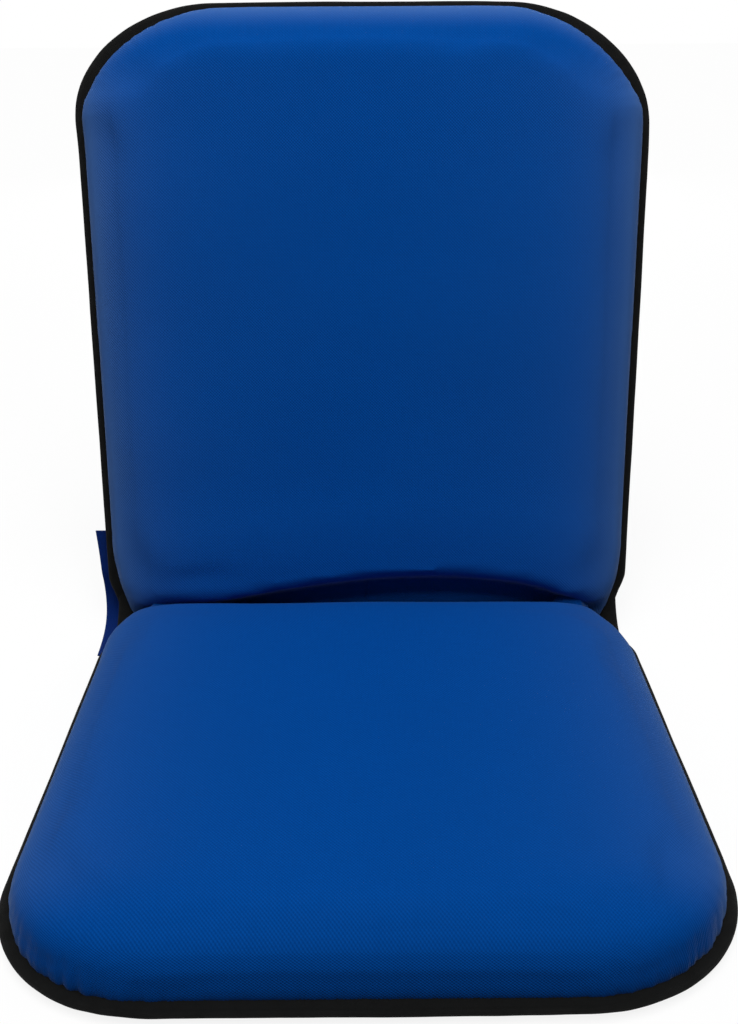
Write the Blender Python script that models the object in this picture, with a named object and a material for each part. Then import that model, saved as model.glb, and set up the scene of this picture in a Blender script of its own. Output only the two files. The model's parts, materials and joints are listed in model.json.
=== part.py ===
"""Folding padded sun lounger that sits on the ground: a seat panel and a reclining back panel.

Each panel is a steel U frame between a base foam sheet and a crowned foam pad, inside a sewn
cover with a bound edge. Two ratchet hinges hidden in the crease join the frames.

Frame: metres, +X across (right as seen from the front), +Y to the rear, +Z up, with the origin on
the ground under the middle of the object. Each panel is modelled in its own frame on the pivot
line: x across, a away from the pivot line along the panel, n towards the sitter.
"""

import math
from dataclasses import dataclass

import bmesh
import bpy
from mathutils import Matrix, Vector

# Overall form
SEAT_LENGTH = 0.415
SEAT_END_WIDTH = 0.520
BACK_LENGTH = 0.5575
BACK_END_WIDTH = 0.526
HINGE_END_WIDTH = 0.508
WAIST_WIDTH = 0.478
SEAT_WAIST_LENGTH = 0.060
BACK_WAIST_LENGTH = 0.030
END_RADIUS = 0.114
RECLINE = math.radians(19.0)

# Cushion
PAD_THICKNESS = 0.058
CENTRE_RISE = 0.004
ROLL = 0.060
SEAT_END_ROLL = 0.036
ROLL_EASE = 4
CREASE_BLEND = 0.003
COVER_THICKNESS = 0.001
BASE_FOAM = 0.0154
FOAM_EDGE = 0.003
FOAM_EASE = 0.0026
BINDING_WIDTH = 0.014
BINDING_THICKNESS = 0.005
BINDING_RISE = 0.007
BINDING_CHAMFER = 0.0015
FABRIC_START = 0.004

# Frame
TUBE_RADIUS = 0.008
TUBE_WALL = 0.0012
FRAME_INSET = 0.034
FRAME_END_INSET = 0.045
FRAME_BEND = 0.070
TUBE_START = 0.050
CROSS_BAR_RADIUS = 0.006
CROSS_BAR_AT = 0.140
STRAP_WIDTH = 0.040
STRAP_THICKNESS = 0.0015
STRAP_OVERHANG = 0.006
SEAT_STRAP_COUNT = 2
BACK_STRAP_COUNT = 3

# Hinge
PIVOT_OFFSET = 0.011
HEAD_RADIUS = 0.015
HEAD_CLEARANCE = 0.007
PLATE_THICKNESS = 0.003
TAIL_HALF_HEIGHT = 0.007
TAIL_LENGTH = 0.050
RIVET_RADIUS = 0.0025
RIVET_HEAD_RADIUS = 0.0045
RIVET_HEAD = 0.0015
RIVET_FIRST = 0.012
RIVET_PITCH = 0.024
TAIL_RIVET_COUNT = 2
PIVOT_RADIUS = 0.004
PIVOT_HEAD_RADIUS = 0.0065

# Ratchet
STEPS_TO_FLAT = 4
STEPS_TO_CLOSED = 5
NOTCH_DEPTH = 0.0024
NOTCH_MOUTH = 0.0038
NOTCH_FLOOR = 0.0022
PAWL_ANGLE = math.radians(-25.0)
RATCHET_HEAD_END = math.radians(270.0)
CHEEK_HEAD_END = math.radians(205.0)
CHEEK_LOBE_START = math.radians(170.0)
CHEEK_LOBE_END = math.radians(335.0)
PAWL_ARM = 0.017
PAWL_WIDTH = 0.005
PAWL_HUB = 0.0055
PAWL_ROOT = 0.0012
PAWL_TIP = 0.0014
PAWL_TOOTH_ROOT = 0.0036
PAWL_PIN_RADIUS = 0.002
PAWL_PIN_HEAD_RADIUS = 0.0035
SPRING_THICKNESS = 0.0008
SPRING_BOW = 0.003

# Fabric across the fold
CREASE_COVER = 0.0015
CREASE_REACH = 0.140
CREASE_FLOOR = 0.0205
CREASE_CLEARANCE = 0.0008
CREASE_ARCH = 0.030
REAR_PANEL_LEFT = 0.260
REAR_PANEL_RIGHT = 0.235
REAR_PANEL_TOP = 0.072
REAR_PANEL_SEWN = 0.022
REAR_PANEL_TOUCH = 0.040
REAR_PANEL_SAG = 0.022
REAR_PANEL_DROP = 0.040

# Clearances and facets
GAP = 0.0003
TUBE_SIDES = 14
BEND_STEPS = 6
ROUND_SIDES = 12
HEAD_STEPS = 14
RATCHET_FRONT_STEPS = 5
RATCHET_REAR_STEPS = 3
REAR_PANEL_STEPS = 10
SHARP_ANGLE = math.radians(35.0)

# Sizes that follow
OPEN_ANGLE = math.pi / 2 + RECLINE
FLAT_SWING = math.pi - OPEN_ANGLE
NOTCH_PITCH = FLAT_SWING / STEPS_TO_FLAT
CLOSED_ANGLE = OPEN_ANGLE - STEPS_TO_CLOSED * NOTCH_PITCH
TUBE_DROP = PIVOT_OFFSET
PIVOT_HEIGHT = COVER_THICKNESS + GAP + BASE_FOAM + GAP + TUBE_RADIUS + PIVOT_OFFSET
GROUND = -PIVOT_HEIGHT
PAD_START = HEAD_RADIUS + HEAD_CLEARANCE
PAD_INSET = BINDING_WIDTH + GAP
BINDING_REACH = BACK_LENGTH * math.sin(RECLINE) + (PIVOT_HEIGHT - BINDING_RISE) * math.cos(RECLINE)
COVER_REACH = (BACK_LENGTH - PAD_INSET) * math.sin(RECLINE) + PIVOT_HEIGHT * math.cos(RECLINE)
PIVOT_Y = (SEAT_LENGTH - max(BINDING_REACH, COVER_REACH)) / 2
PAD_FOOT = GROUND + COVER_THICKNESS + GAP
SHOULDER = PAD_THICKNESS - CENTRE_RISE - COVER_THICKNESS - GAP
FRAME_HALF_WIDTH = min(WAIST_WIDTH, HINGE_END_WIDTH) / 2 - FRAME_INSET
STRAP_FOOT = -TUBE_DROP + TUBE_RADIUS + GAP
FOAM_FOOT = STRAP_FOOT + STRAP_THICKNESS + GAP
FOAM_SKIN = COVER_THICKNESS + FOAM_EASE
RATCHET_OUTER = FRAME_HALF_WIDTH - TUBE_RADIUS - GAP
RATCHET_INNER = RATCHET_OUTER - PLATE_THICKNESS
CHEEK_OUTER = RATCHET_INNER - GAP
CHEEK_INNER = CHEEK_OUTER - PLATE_THICKNESS
TAIL_TOP = -TUBE_DROP + TAIL_HALF_HEIGHT
TAIL_FOOT = -TUBE_DROP - TAIL_HALF_HEIGHT
TAIL_END = TUBE_START + TAIL_LENGTH
PAWL_PIN_OUT = HEAD_RADIUS + PAWL_ROOT + PAWL_WIDTH / 2
PAWL_LIFT = NOTCH_DEPTH / PAWL_ARM

# Columns across a pad, as a share of its half width, closer together where the side rolls down
COLUMNS = (-1.0, -0.985, -0.955, -0.90, -0.82, -0.70, -0.42, 0.0, 0.42, 0.70, 0.82, 0.90, 0.955, 0.985, 1.0)
# Rows round the end corners, closer together where the end rolls down
CORNER_ANGLES = tuple(math.radians(angle) for angle in (0, 20, 38, 54, 67, 77, 84, 90))
SIDE_ROWS = 5
WAIST_ROWS = 4
CREASE_ROWS = 4
# The crease panel's columns, and its rows as shares of the turn into the fold
CREASE_COLUMNS = COLUMNS[2:-2]
FOLD_ROWS = (0.4, 0.8)


@dataclass(frozen=True)
class Panel:
    """One padded panel, in its own frame on the pivot line."""

    name: str
    face: str
    rear: str
    length: float
    end_width: float
    waist_length: float
    end_roll: float
    straps: int
    turn: int
    frame: bpy.types.Object

    @property
    def corner(self) -> float:
        """Distance from the pivot line at which the end corners begin."""
        return self.length - END_RADIUS

    def half_width(self, a: float) -> float:
        """Half the outline's width at a distance a from the pivot line, without the corners."""
        if a < self.waist_length:
            step = a / self.waist_length
            ease = step * step * (3 - 2 * step)
            return WAIST_WIDTH / 2 + ease * (HINGE_END_WIDTH - WAIST_WIDTH) / 2
        share = min((a - self.waist_length) / (self.corner - self.waist_length), 1.0)
        return HINGE_END_WIDTH / 2 + share * (self.end_width - HINGE_END_WIDTH) / 2

    def waist_rows(self, start: float) -> list[float]:
        """Distances of the rows along the waist, without its end."""
        return [start + (self.waist_length - start) * i / WAIST_ROWS for i in range(WAIST_ROWS)]

    def crease_rows(self) -> list[float]:
        """Distances of the crease panel's rows over the pad."""
        span = CREASE_REACH - self.waist_length
        side = [self.waist_length + span * i / CREASE_ROWS for i in range(CREASE_ROWS + 1)]
        return self.waist_rows(PAD_START) + side

    def rows(self, start: float, inset: float) -> list[tuple[float, float]]:
        """Half width and distance of each row of the outline, moved in by an inset."""
        waist = self.waist_rows(start)
        straight = self.corner - self.waist_length
        side = [self.waist_length + straight * i / SIDE_ROWS for i in range(SIDE_ROWS)]
        rows = [(self.half_width(a) - inset, a) for a in waist + side]
        centre = self.end_width / 2 - END_RADIUS
        for angle in CORNER_ANGLES:
            radius = END_RADIUS - inset
            rows.append((centre + radius * math.cos(angle), self.corner + radius * math.sin(angle)))
        return rows

    def outline(self, start: float, inset: float) -> list[tuple[float, float]]:
        """Points round the panel, from the pivot line up one side and down the other."""
        rows = self.rows(start, inset)
        return rows + [(-x, a) for x, a in reversed(rows)]

    def edge_distance(self, x: float, a: float) -> float:
        """Distance of a point inside the panel from the panel's outline."""
        across = abs(x) - (self.end_width / 2 - END_RADIUS)
        along = a - self.corner
        if across > 0 and along > 0:
            return END_RADIUS - math.hypot(across, along)
        return min(self.half_width(a) - abs(x), self.length - a)

    def roll(self, x: float, a: float, skin: float) -> float:
        """Share of the pad's full height that its rolled edge reaches at a point."""
        end = min(max((a - self.corner) / END_RADIUS, 0.0), 1.0)
        reach = ROLL + (self.end_roll - ROLL) * end
        inward = min(max(self.edge_distance(x, a) - PAD_INSET, skin), reach)
        return math.sqrt(max(1 - ((reach - inward) / (reach - skin)) ** 2, 0.0))

    def fullness(self, x: float, a: float, skin: float) -> float:
        """Height of the full pad over its foot, as it is away from the fold."""
        middle = 1 - (x / self.half_width(a)) ** 2
        return (SHOULDER - skin + CENTRE_RISE * middle) * self.roll(x, a, skin)

    def crown(self, x: float, a: float, skin: float) -> float:
        """Height of the pad's face, which leaves room to close, or of a surface a skin under it."""
        limit = a * math.tan(CLOSED_ANGLE / 2) - PAD_FOOT - GAP - skin
        blend = math.exp(-self.fullness(x, a, skin) / CREASE_BLEND) + math.exp(-limit / CREASE_BLEND)
        height = max(-CREASE_BLEND * math.log(blend), 0.0)
        return PAD_FOOT + height * min(self.roll(x, a, skin) * ROLL_EASE, 1.0)


def clear_scene() -> None:
    """Remove every object of the scene."""
    for item in list(bpy.data.objects):
        bpy.data.objects.remove(item, do_unlink=True)


def make_material(name: str, colour: tuple, roughness: float, metallic: float) -> bpy.types.Material:
    """A plain Principled material."""
    material = bpy.data.materials.new(name)
    material.use_nodes = True
    shader = material.node_tree.nodes["Principled BSDF"]
    shader.inputs["Base Color"].default_value = (*colour, 1.0)
    shader.inputs["Roughness"].default_value = roughness
    shader.inputs["Metallic"].default_value = metallic
    return material


def make_frame(name: str, location: tuple, rotation: tuple) -> bpy.types.Object:
    """An empty that carries the pieces of one panel."""
    frame = bpy.data.objects.new(name, None)
    frame.location = location
    frame.rotation_euler = rotation
    bpy.context.collection.objects.link(frame)
    return frame


def face_outwards(form: bmesh.types.BMesh) -> None:
    """Turn every face of a closed form outwards."""
    bmesh.ops.recalc_face_normals(form, faces=form.faces)
    if form.calc_volume(signed=True) < 0:
        bmesh.ops.reverse_faces(form, faces=form.faces)


def add_piece(name: str, form: bmesh.types.BMesh, material, frame, place=(0, 0, 0)) -> bpy.types.Object:
    """Turn a finished bmesh into a named piece in a panel's frame."""
    face_outwards(form)
    mesh = bpy.data.meshes.new(name)
    form.to_mesh(mesh)
    form.free()
    mesh.shade_smooth()
    mesh.set_sharp_from_angle(angle=SHARP_ANGLE)
    mesh.materials.append(material)
    piece = bpy.data.objects.new(name, mesh)
    piece.parent = frame
    piece.location = place
    bpy.context.collection.objects.link(piece)
    return piece


def drill(piece: bpy.types.Object, form: bmesh.types.BMesh) -> None:
    """Cut a form out of a piece."""
    face_outwards(form)
    mesh = bpy.data.meshes.new(piece.name + ".drill")
    form.to_mesh(mesh)
    form.free()
    cutter = bpy.data.objects.new(mesh.name, mesh)
    cutter.parent = piece.parent
    cutter.location = piece.location
    cutter.hide_render = True
    cutter.display_type = "WIRE"
    bpy.context.collection.objects.link(cutter)
    cut = piece.modifiers.new("holes", "BOOLEAN")
    cut.operation = "DIFFERENCE"
    cut.solver = "EXACT"
    cut.object = cutter


def layered(rows: int, columns: int, place) -> bmesh.types.BMesh:
    """A closed slab over a grid, with each corner of both layers put where place says."""
    form = bmesh.new()
    bmesh.ops.create_grid(form, x_segments=columns, y_segments=rows, size=0.5)
    made = bmesh.ops.extrude_face_region(form, geom=form.faces[:])
    lifted = [item for item in made["geom"] if isinstance(item, bmesh.types.BMVert)]
    bmesh.ops.translate(form, verts=lifted, vec=(0.0, 0.0, 1.0))
    for vert in form.verts:
        row = round((vert.co.y + 0.5) * rows)
        column = round((vert.co.x + 0.5) * columns)
        vert.co = place(row, column, round(vert.co.z))
    return form


def prism(points: list, depth: Vector) -> bmesh.types.BMesh:
    """A flat outline extruded along a vector."""
    form = bmesh.new()
    face = form.faces.new([form.verts.new(point) for point in points])
    made = bmesh.ops.extrude_face_region(form, geom=[face])
    moved = [item for item in made["geom"] if isinstance(item, bmesh.types.BMVert)]
    bmesh.ops.translate(form, verts=moved, vec=depth)
    return form


def plate(points: list[tuple[float, float]], side: int, inner: float, outer: float) -> bmesh.types.BMesh:
    """A plate across x, from an outline in a and n."""
    return prism([Vector((side * inner, a, n)) for a, n in points], Vector((side * (outer - inner), 0, 0)))


def arc(centre: tuple[float, float], radius: float, start: float, end: float, steps: int) -> list:
    """Points along an arc in the plane of a and n."""
    angles = [start + (end - start) * i / steps for i in range(steps + 1)]
    return [(centre[0] + radius * math.cos(t), centre[1] + radius * math.sin(t)) for t in angles]


def turned(profile: list[tuple[float, float]], a: float = 0.0, n: float = 0.0) -> bmesh.types.BMesh:
    """A round piece spun about a line along x, from points of x and radius that start and end on it."""
    form = bmesh.new()
    verts = [form.verts.new((x, a + radius, n)) for x, radius in profile]
    edges = [form.edges.new(pair) for pair in zip(verts, verts[1:])]
    bmesh.ops.spin(
        form,
        geom=verts + edges,
        cent=(0.0, a, n),
        axis=(1.0, 0.0, 0.0),
        dvec=(0.0, 0.0, 0.0),
        angle=math.tau,
        steps=ROUND_SIDES,
        use_merge=True,
    )
    bmesh.ops.remove_doubles(form, verts=form.verts, dist=GAP / 10)
    return form


def rod(inner: float, outer: float, radius: float, a: float, n: float) -> bmesh.types.BMesh:
    """A plain round bar along x."""
    return turned([(inner, 0.0), (inner, radius), (outer, radius), (outer, 0.0)], a, n)


def rivet(side: int, inner: float, outer: float, radius: float, head: float, a: float, n: float):
    """A round shank between two heads that lie just outside what it holds."""
    low = inner - GAP
    high = outer + GAP
    profile = [
        (low - RIVET_HEAD, 0.0),
        (low - RIVET_HEAD, head),
        (low, head),
        (low, radius),
        (high, radius),
        (high, head),
        (high + RIVET_HEAD, head),
        (high + RIVET_HEAD, 0.0),
    ]
    return turned([(side * x, size) for x, size in profile], a, n)


def holes(side: int, inner: float, outer: float, spots: list) -> bmesh.types.BMesh:
    """Round cutters along x through the space between two distances from the middle."""
    form = bmesh.new()
    for radius, a, n in spots:
        part = rod(side * (inner - PLATE_THICKNESS), side * (outer + PLATE_THICKNESS), radius + GAP, a, n)
        mesh = bpy.data.meshes.new("hole")
        part.to_mesh(mesh)
        part.free()
        form.from_mesh(mesh)
        bpy.data.meshes.remove(mesh)
    return form


def swept_tube(path: list[Vector], outer: float, bore: float) -> bmesh.types.BMesh:
    """A round tube with a bore along a path that lies flat in x and a."""
    form = bmesh.new()
    up = Vector((0.0, 0.0, 1.0))
    skins = []
    for radius in (outer, bore):
        rings = []
        for i, point in enumerate(path):
            ahead = path[min(i + 1, len(path) - 1)] - path[max(i - 1, 0)]
            aside = ahead.normalized().cross(up)
            ring = []
            for k in range(TUBE_SIDES):
                angle = math.tau * k / TUBE_SIDES
                outward = aside * math.cos(angle) + up * math.sin(angle)
                ring.append(form.verts.new(point + radius * outward))
            rings.append(ring)
        skins.append(rings)
    for rings in skins:
        for first, second in zip(rings, rings[1:]):
            join_rings(form, first, second)
    join_rings(form, skins[0][0], skins[1][0])
    join_rings(form, skins[0][-1], skins[1][-1])
    return form


def join_rings(form: bmesh.types.BMesh, first: list, second: list) -> None:
    """Faces between two rings of as many corners."""
    for k in range(len(first)):
        after = (k + 1) % len(first)
        form.faces.new((first[k], first[after], second[after], second[k]))


def frame_path(panel: Panel) -> list[Vector]:
    """The U frame's centre line, from one hinge round the end to the other."""
    across = FRAME_HALF_WIDTH - FRAME_BEND
    along = panel.length - FRAME_END_INSET - FRAME_BEND
    half = [Vector((FRAME_HALF_WIDTH, a, -TUBE_DROP)) for a in (TUBE_START, TAIL_END)]
    for x, a in arc((across, along), FRAME_BEND, 0.0, math.pi / 2, BEND_STEPS):
        half.append(Vector((x, a, -TUBE_DROP)))
    return half + [Vector((-point.x, point.y, point.z)) for point in reversed(half)]


def tail_rivets() -> list[float]:
    """Distances of the rivets that hold a hinge plate's tail on a frame tube."""
    return [TUBE_START + RIVET_FIRST + RIVET_PITCH * i for i in range(TAIL_RIVET_COUNT)]


def add_frame(panel: Panel, steel, webbing) -> None:
    """The U frame with its cross bar and the straps that carry the foam."""
    tube = add_piece(
        f"{panel.name}_frame_tube",
        swept_tube(frame_path(panel), TUBE_RADIUS, TUBE_RADIUS - TUBE_WALL),
        steel,
        panel.frame,
    )
    spots = [(RIVET_RADIUS, a, -TUBE_DROP) for a in tail_rivets()]
    inner = FRAME_HALF_WIDTH - TUBE_RADIUS
    outer = FRAME_HALF_WIDTH + TUBE_RADIUS
    for side in (-1, 1):
        drill(tube, holes(side, inner, outer, spots))
    reach = inner - GAP
    ends = [Vector((x, CROSS_BAR_AT, -TUBE_DROP)) for x in (-reach, reach)]
    bar = swept_tube(ends, CROSS_BAR_RADIUS, CROSS_BAR_RADIUS - TUBE_WALL)
    add_piece(f"{panel.name}_cross_bar", bar, steel, panel.frame)
    span = panel.length - FRAME_END_INSET - CROSS_BAR_AT
    half = FRAME_HALF_WIDTH + STRAP_OVERHANG
    for i in range(panel.straps):
        middle = CROSS_BAR_AT + span * (i + 1) / (panel.straps + 1)
        corners = [(-half, middle - STRAP_WIDTH / 2), (half, middle - STRAP_WIDTH / 2)]
        corners += [(half, middle + STRAP_WIDTH / 2), (-half, middle + STRAP_WIDTH / 2)]
        points = [Vector((x, a, STRAP_FOOT)) for x, a in corners]
        form = prism(points, Vector((0, 0, STRAP_THICKNESS)))
        add_piece(f"{panel.name}_support_strap_{i + 1}", form, webbing, panel.frame)


def inset_at(height: float, skin: float) -> float:
    """How far in from the outline the pad's rolled side reaches a height above its foot."""
    share = min(height / (SHOULDER - skin), 1.0)
    return PAD_INSET + ROLL - (ROLL - skin) * math.sqrt(1 - share * share)


def add_cushion(panel: Panel, fabric, base_fabric, foam) -> None:
    """The two foam sheets and the sewn cover round them."""
    rows = panel.rows(PAD_START, PAD_INSET)
    skin_rows = panel.rows(PAD_START, PAD_INSET + COVER_THICKNESS)

    def cover_point(row: int, column: int, layer: int) -> Vector:
        half, a = (rows, skin_rows)[layer][row]
        x = COLUMNS[column] * half
        return Vector((x, a, panel.crown(x, a, layer * COVER_THICKNESS)))

    cover = layered(len(rows) - 1, len(COLUMNS) - 1, cover_point)
    add_piece(f"{panel.name}_{panel.face}_cover", cover, fabric, panel.frame)

    foam_inset = inset_at(FOAM_FOOT - PAD_FOOT + FOAM_EDGE, FOAM_SKIN)
    foam_rows = panel.rows(PAD_START + GAP, foam_inset)

    def foam_point(row: int, column: int, layer: int) -> Vector:
        half, a = foam_rows[row]
        x = COLUMNS[column] * half
        return Vector((x, a, FOAM_FOOT if layer else panel.crown(x, a, FOAM_SKIN)))

    pad = layered(len(foam_rows) - 1, len(COLUMNS) - 1, foam_point)
    add_piece(f"{panel.name}_foam", pad, foam, panel.frame)

    base_inset = inset_at(COVER_THICKNESS + GAP + BASE_FOAM, FOAM_SKIN)
    points = [Vector((x, a, PAD_FOOT)) for x, a in panel.outline(PAD_START, base_inset)]
    add_piece(f"{panel.name}_base_foam", prism(points, Vector((0, 0, BASE_FOAM))), foam, panel.frame)

    points = [Vector((x, a, GROUND)) for x, a in panel.outline(FABRIC_START, PAD_INSET)]
    sheet = prism(points, Vector((0, 0, COVER_THICKNESS)))
    add_piece(f"{panel.name}_{panel.rear}_cover", sheet, base_fabric, panel.frame)


def add_binding(panel: Panel, tape) -> None:
    """The flat tape sewn round the panel's edge, with its outer corners eased."""
    insets = (BINDING_WIDTH, BINDING_CHAMFER, 0.0)
    easing = (0.0, 0.0, BINDING_CHAMFER)
    edges = [panel.outline(FABRIC_START, inset) for inset in insets]
    foot = GROUND + BINDING_RISE

    def place(row: int, column: int, layer: int) -> Vector:
        x, a = edges[column][row]
        height = foot + BINDING_THICKNESS - easing[column] if layer else foot + easing[column]
        return Vector((x, a, height))

    form = layered(len(edges[0]) - 1, len(insets) - 1, place)
    add_piece(f"{panel.name}_binding", form, tape, panel.frame)


def ratchet_outline() -> list[tuple[float, float]]:
    """The seat plate: a notched round head on the pivot and a tail along the frame tube."""
    first = math.asin(TAIL_TOP / HEAD_RADIUS)
    steps = range(-STEPS_TO_CLOSED, STEPS_TO_FLAT + 1)
    centres = [OPEN_ANGLE - PAWL_ANGLE + k * NOTCH_PITCH for k in steps]
    mouth = math.asin(NOTCH_MOUTH / 2 / HEAD_RADIUS)
    floor_radius = HEAD_RADIUS - NOTCH_DEPTH
    floor = math.asin(NOTCH_FLOOR / 2 / floor_radius)
    points = [(TAIL_END, TAIL_TOP)]
    points += arc((0.0, 0.0), HEAD_RADIUS, first, centres[0] - mouth, RATCHET_FRONT_STEPS)
    for centre in centres:
        points += arc((0.0, 0.0), floor_radius, centre - floor, centre + floor, 1)
        points += arc((0.0, 0.0), HEAD_RADIUS, centre + mouth, centre + NOTCH_PITCH - mouth, 1)
    last = centres[-1] + NOTCH_PITCH
    points += arc((0.0, 0.0), HEAD_RADIUS, last, RATCHET_HEAD_END, RATCHET_REAR_STEPS)
    points += [(HEAD_RADIUS, TAIL_FOOT), (TAIL_END, TAIL_FOOT)]
    return points


def pawl_to_panel(out: float, along: float) -> tuple[float, float]:
    """A point given outwards from the pivot past the pawl's tip and along its arm, in a and n."""
    a = out * math.cos(PAWL_ANGLE) - along * math.sin(PAWL_ANGLE)
    n = out * math.sin(PAWL_ANGLE) + along * math.cos(PAWL_ANGLE)
    return a, n


def cheek_outline() -> list[tuple[float, float]]:
    """The back plate: a round head, a lobe that carries the pawl and a tail along the frame tube."""
    first = math.asin(TAIL_TOP / HEAD_RADIUS)
    pin = pawl_to_panel(PAWL_PIN_OUT, -PAWL_ARM)
    points = [(TAIL_END, TAIL_TOP)]
    points += arc((0.0, 0.0), HEAD_RADIUS, first, CHEEK_HEAD_END, HEAD_STEPS)
    points += arc(pin, PAWL_HUB, CHEEK_LOBE_START, CHEEK_LOBE_END, ROUND_SIDES // 2)
    points += [(PAD_START - GAP, TAIL_FOOT), (TAIL_END, TAIL_FOOT)]
    return points


def pawl_outline() -> list[tuple[float, float]]:
    """The pawl lifted just clear of the notches, in a and n from its pin."""
    root = HEAD_RADIUS + PAWL_ROOT
    tip = HEAD_RADIUS - NOTCH_DEPTH + GAP
    outer = root + PAWL_WIDTH
    corners = [
        (root, -PAWL_TOOTH_ROOT / 2),
        (tip, -PAWL_TIP / 2),
        (tip, PAWL_TIP / 2),
        (root, PAWL_TOOTH_ROOT / 2),
        (outer, PAWL_TOOTH_ROOT / 2),
    ]
    hub = arc((PAWL_PIN_OUT, -PAWL_ARM), PAWL_HUB, 0.0, -math.pi, ROUND_SIDES // 2)
    turn = Matrix.Rotation(PAWL_ANGLE - PAWL_LIFT, 2)
    points = []
    for out, along in corners + hub:
        spot = turn @ Vector((out - PAWL_PIN_OUT, along + PAWL_ARM))
        points.append((spot.x, spot.y))
    return points


def spring_outline() -> list[tuple[float, float]]:
    """A bowed leaf from the spacer's end to the back of the pawl's arm."""
    arm_back = PAWL_PIN_OUT + (PAWL_HUB + PAWL_WIDTH / 2 + NOTCH_DEPTH) / 2 + 2 * GAP
    near = pawl_to_panel(arm_back, -PAWL_ARM / 2)
    far = pawl_to_panel(arm_back + SPRING_THICKNESS, -PAWL_ARM / 2)
    end = (TUBE_START - GAP, -TUBE_DROP)
    middle = ((near[0] + end[0]) / 2, (near[1] + end[1]) / 2 - SPRING_BOW)
    upper = [(a, n + SPRING_THICKNESS / 2) for a, n in (middle, end)]
    lower = [(a, n - SPRING_THICKNESS / 2) for a, n in (end, middle)]
    return [near, *upper, *lower, far]


def add_hinge(side: int, word: str, seat: Panel, back: Panel, steel, zinc) -> None:
    """One ratchet hinge between the two frame tubes."""
    outer = FRAME_HALF_WIDTH + TUBE_RADIUS
    tail_spots = [(RIVET_RADIUS, a, -TUBE_DROP) for a in tail_rivets()]
    pivot_spot = (PIVOT_RADIUS, 0.0, 0.0)
    seat_side = side * seat.turn
    back_side = side * back.turn
    pin = pawl_to_panel(PAWL_PIN_OUT, -PAWL_ARM)
    pin_spot = (PAWL_PIN_RADIUS, *pin)

    ratchet = add_piece(
        f"{word}_ratchet_plate",
        plate(ratchet_outline(), seat_side, RATCHET_INNER, RATCHET_OUTER),
        zinc,
        seat.frame,
    )
    drill(ratchet, holes(seat_side, RATCHET_INNER, RATCHET_OUTER, tail_spots + [pivot_spot]))

    cheek = add_piece(
        f"{word}_back_plate",
        plate(cheek_outline(), back_side, CHEEK_INNER, CHEEK_OUTER),
        zinc,
        back.frame,
    )
    drill(cheek, holes(back_side, CHEEK_INNER, CHEEK_OUTER, tail_spots + [pivot_spot, pin_spot]))

    tail = [(TUBE_START, TAIL_FOOT), (TAIL_END, TAIL_FOOT), (TAIL_END, TAIL_TOP), (TUBE_START, TAIL_TOP)]
    spacer = add_piece(
        f"{word}_hinge_spacer",
        plate(tail, back_side, RATCHET_INNER, RATCHET_OUTER),
        steel,
        back.frame,
    )
    drill(spacer, holes(back_side, RATCHET_INNER, RATCHET_OUTER, tail_spots))

    form = rivet(back_side, CHEEK_INNER, RATCHET_OUTER, PIVOT_RADIUS, PIVOT_HEAD_RADIUS, 0.0, 0.0)
    add_piece(f"{word}_pivot_rivet", form, zinc, back.frame)
    form = rivet(back_side, CHEEK_INNER, RATCHET_OUTER, PAWL_PIN_RADIUS, PAWL_PIN_HEAD_RADIUS, *pin)
    add_piece(f"{word}_pawl_pin", form, zinc, back.frame)
    form = plate(spring_outline(), back_side, RATCHET_INNER, RATCHET_OUTER)
    add_piece(f"{word}_pawl_spring", form, steel, back.frame)

    pawl = add_piece(
        f"{word}_pawl",
        plate(pawl_outline(), back_side, RATCHET_INNER, RATCHET_OUTER),
        steel,
        back.frame,
        place=(0.0, *pin),
    )
    drill(pawl, holes(back_side, RATCHET_INNER, RATCHET_OUTER, [(PAWL_PIN_RADIUS, 0.0, 0.0)]))

    for panel, inner, panel_side in ((seat, RATCHET_INNER, seat_side), (back, CHEEK_INNER, back_side)):
        for i, a in enumerate(tail_rivets()):
            form = rivet(panel_side, inner, outer, RIVET_RADIUS, RIVET_HEAD_RADIUS, a, -TUBE_DROP)
            add_piece(f"{word}_{panel.name}_rivet_{i + 1}", form, zinc, panel.frame)


def back_to_fold(a: float, n: float) -> tuple[float, float]:
    """A point of the back panel, in y and z from the pivot line."""
    y = a * math.sin(RECLINE) - n * math.cos(RECLINE)
    z = a * math.cos(RECLINE) + n * math.sin(RECLINE)
    return y, z


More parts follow.
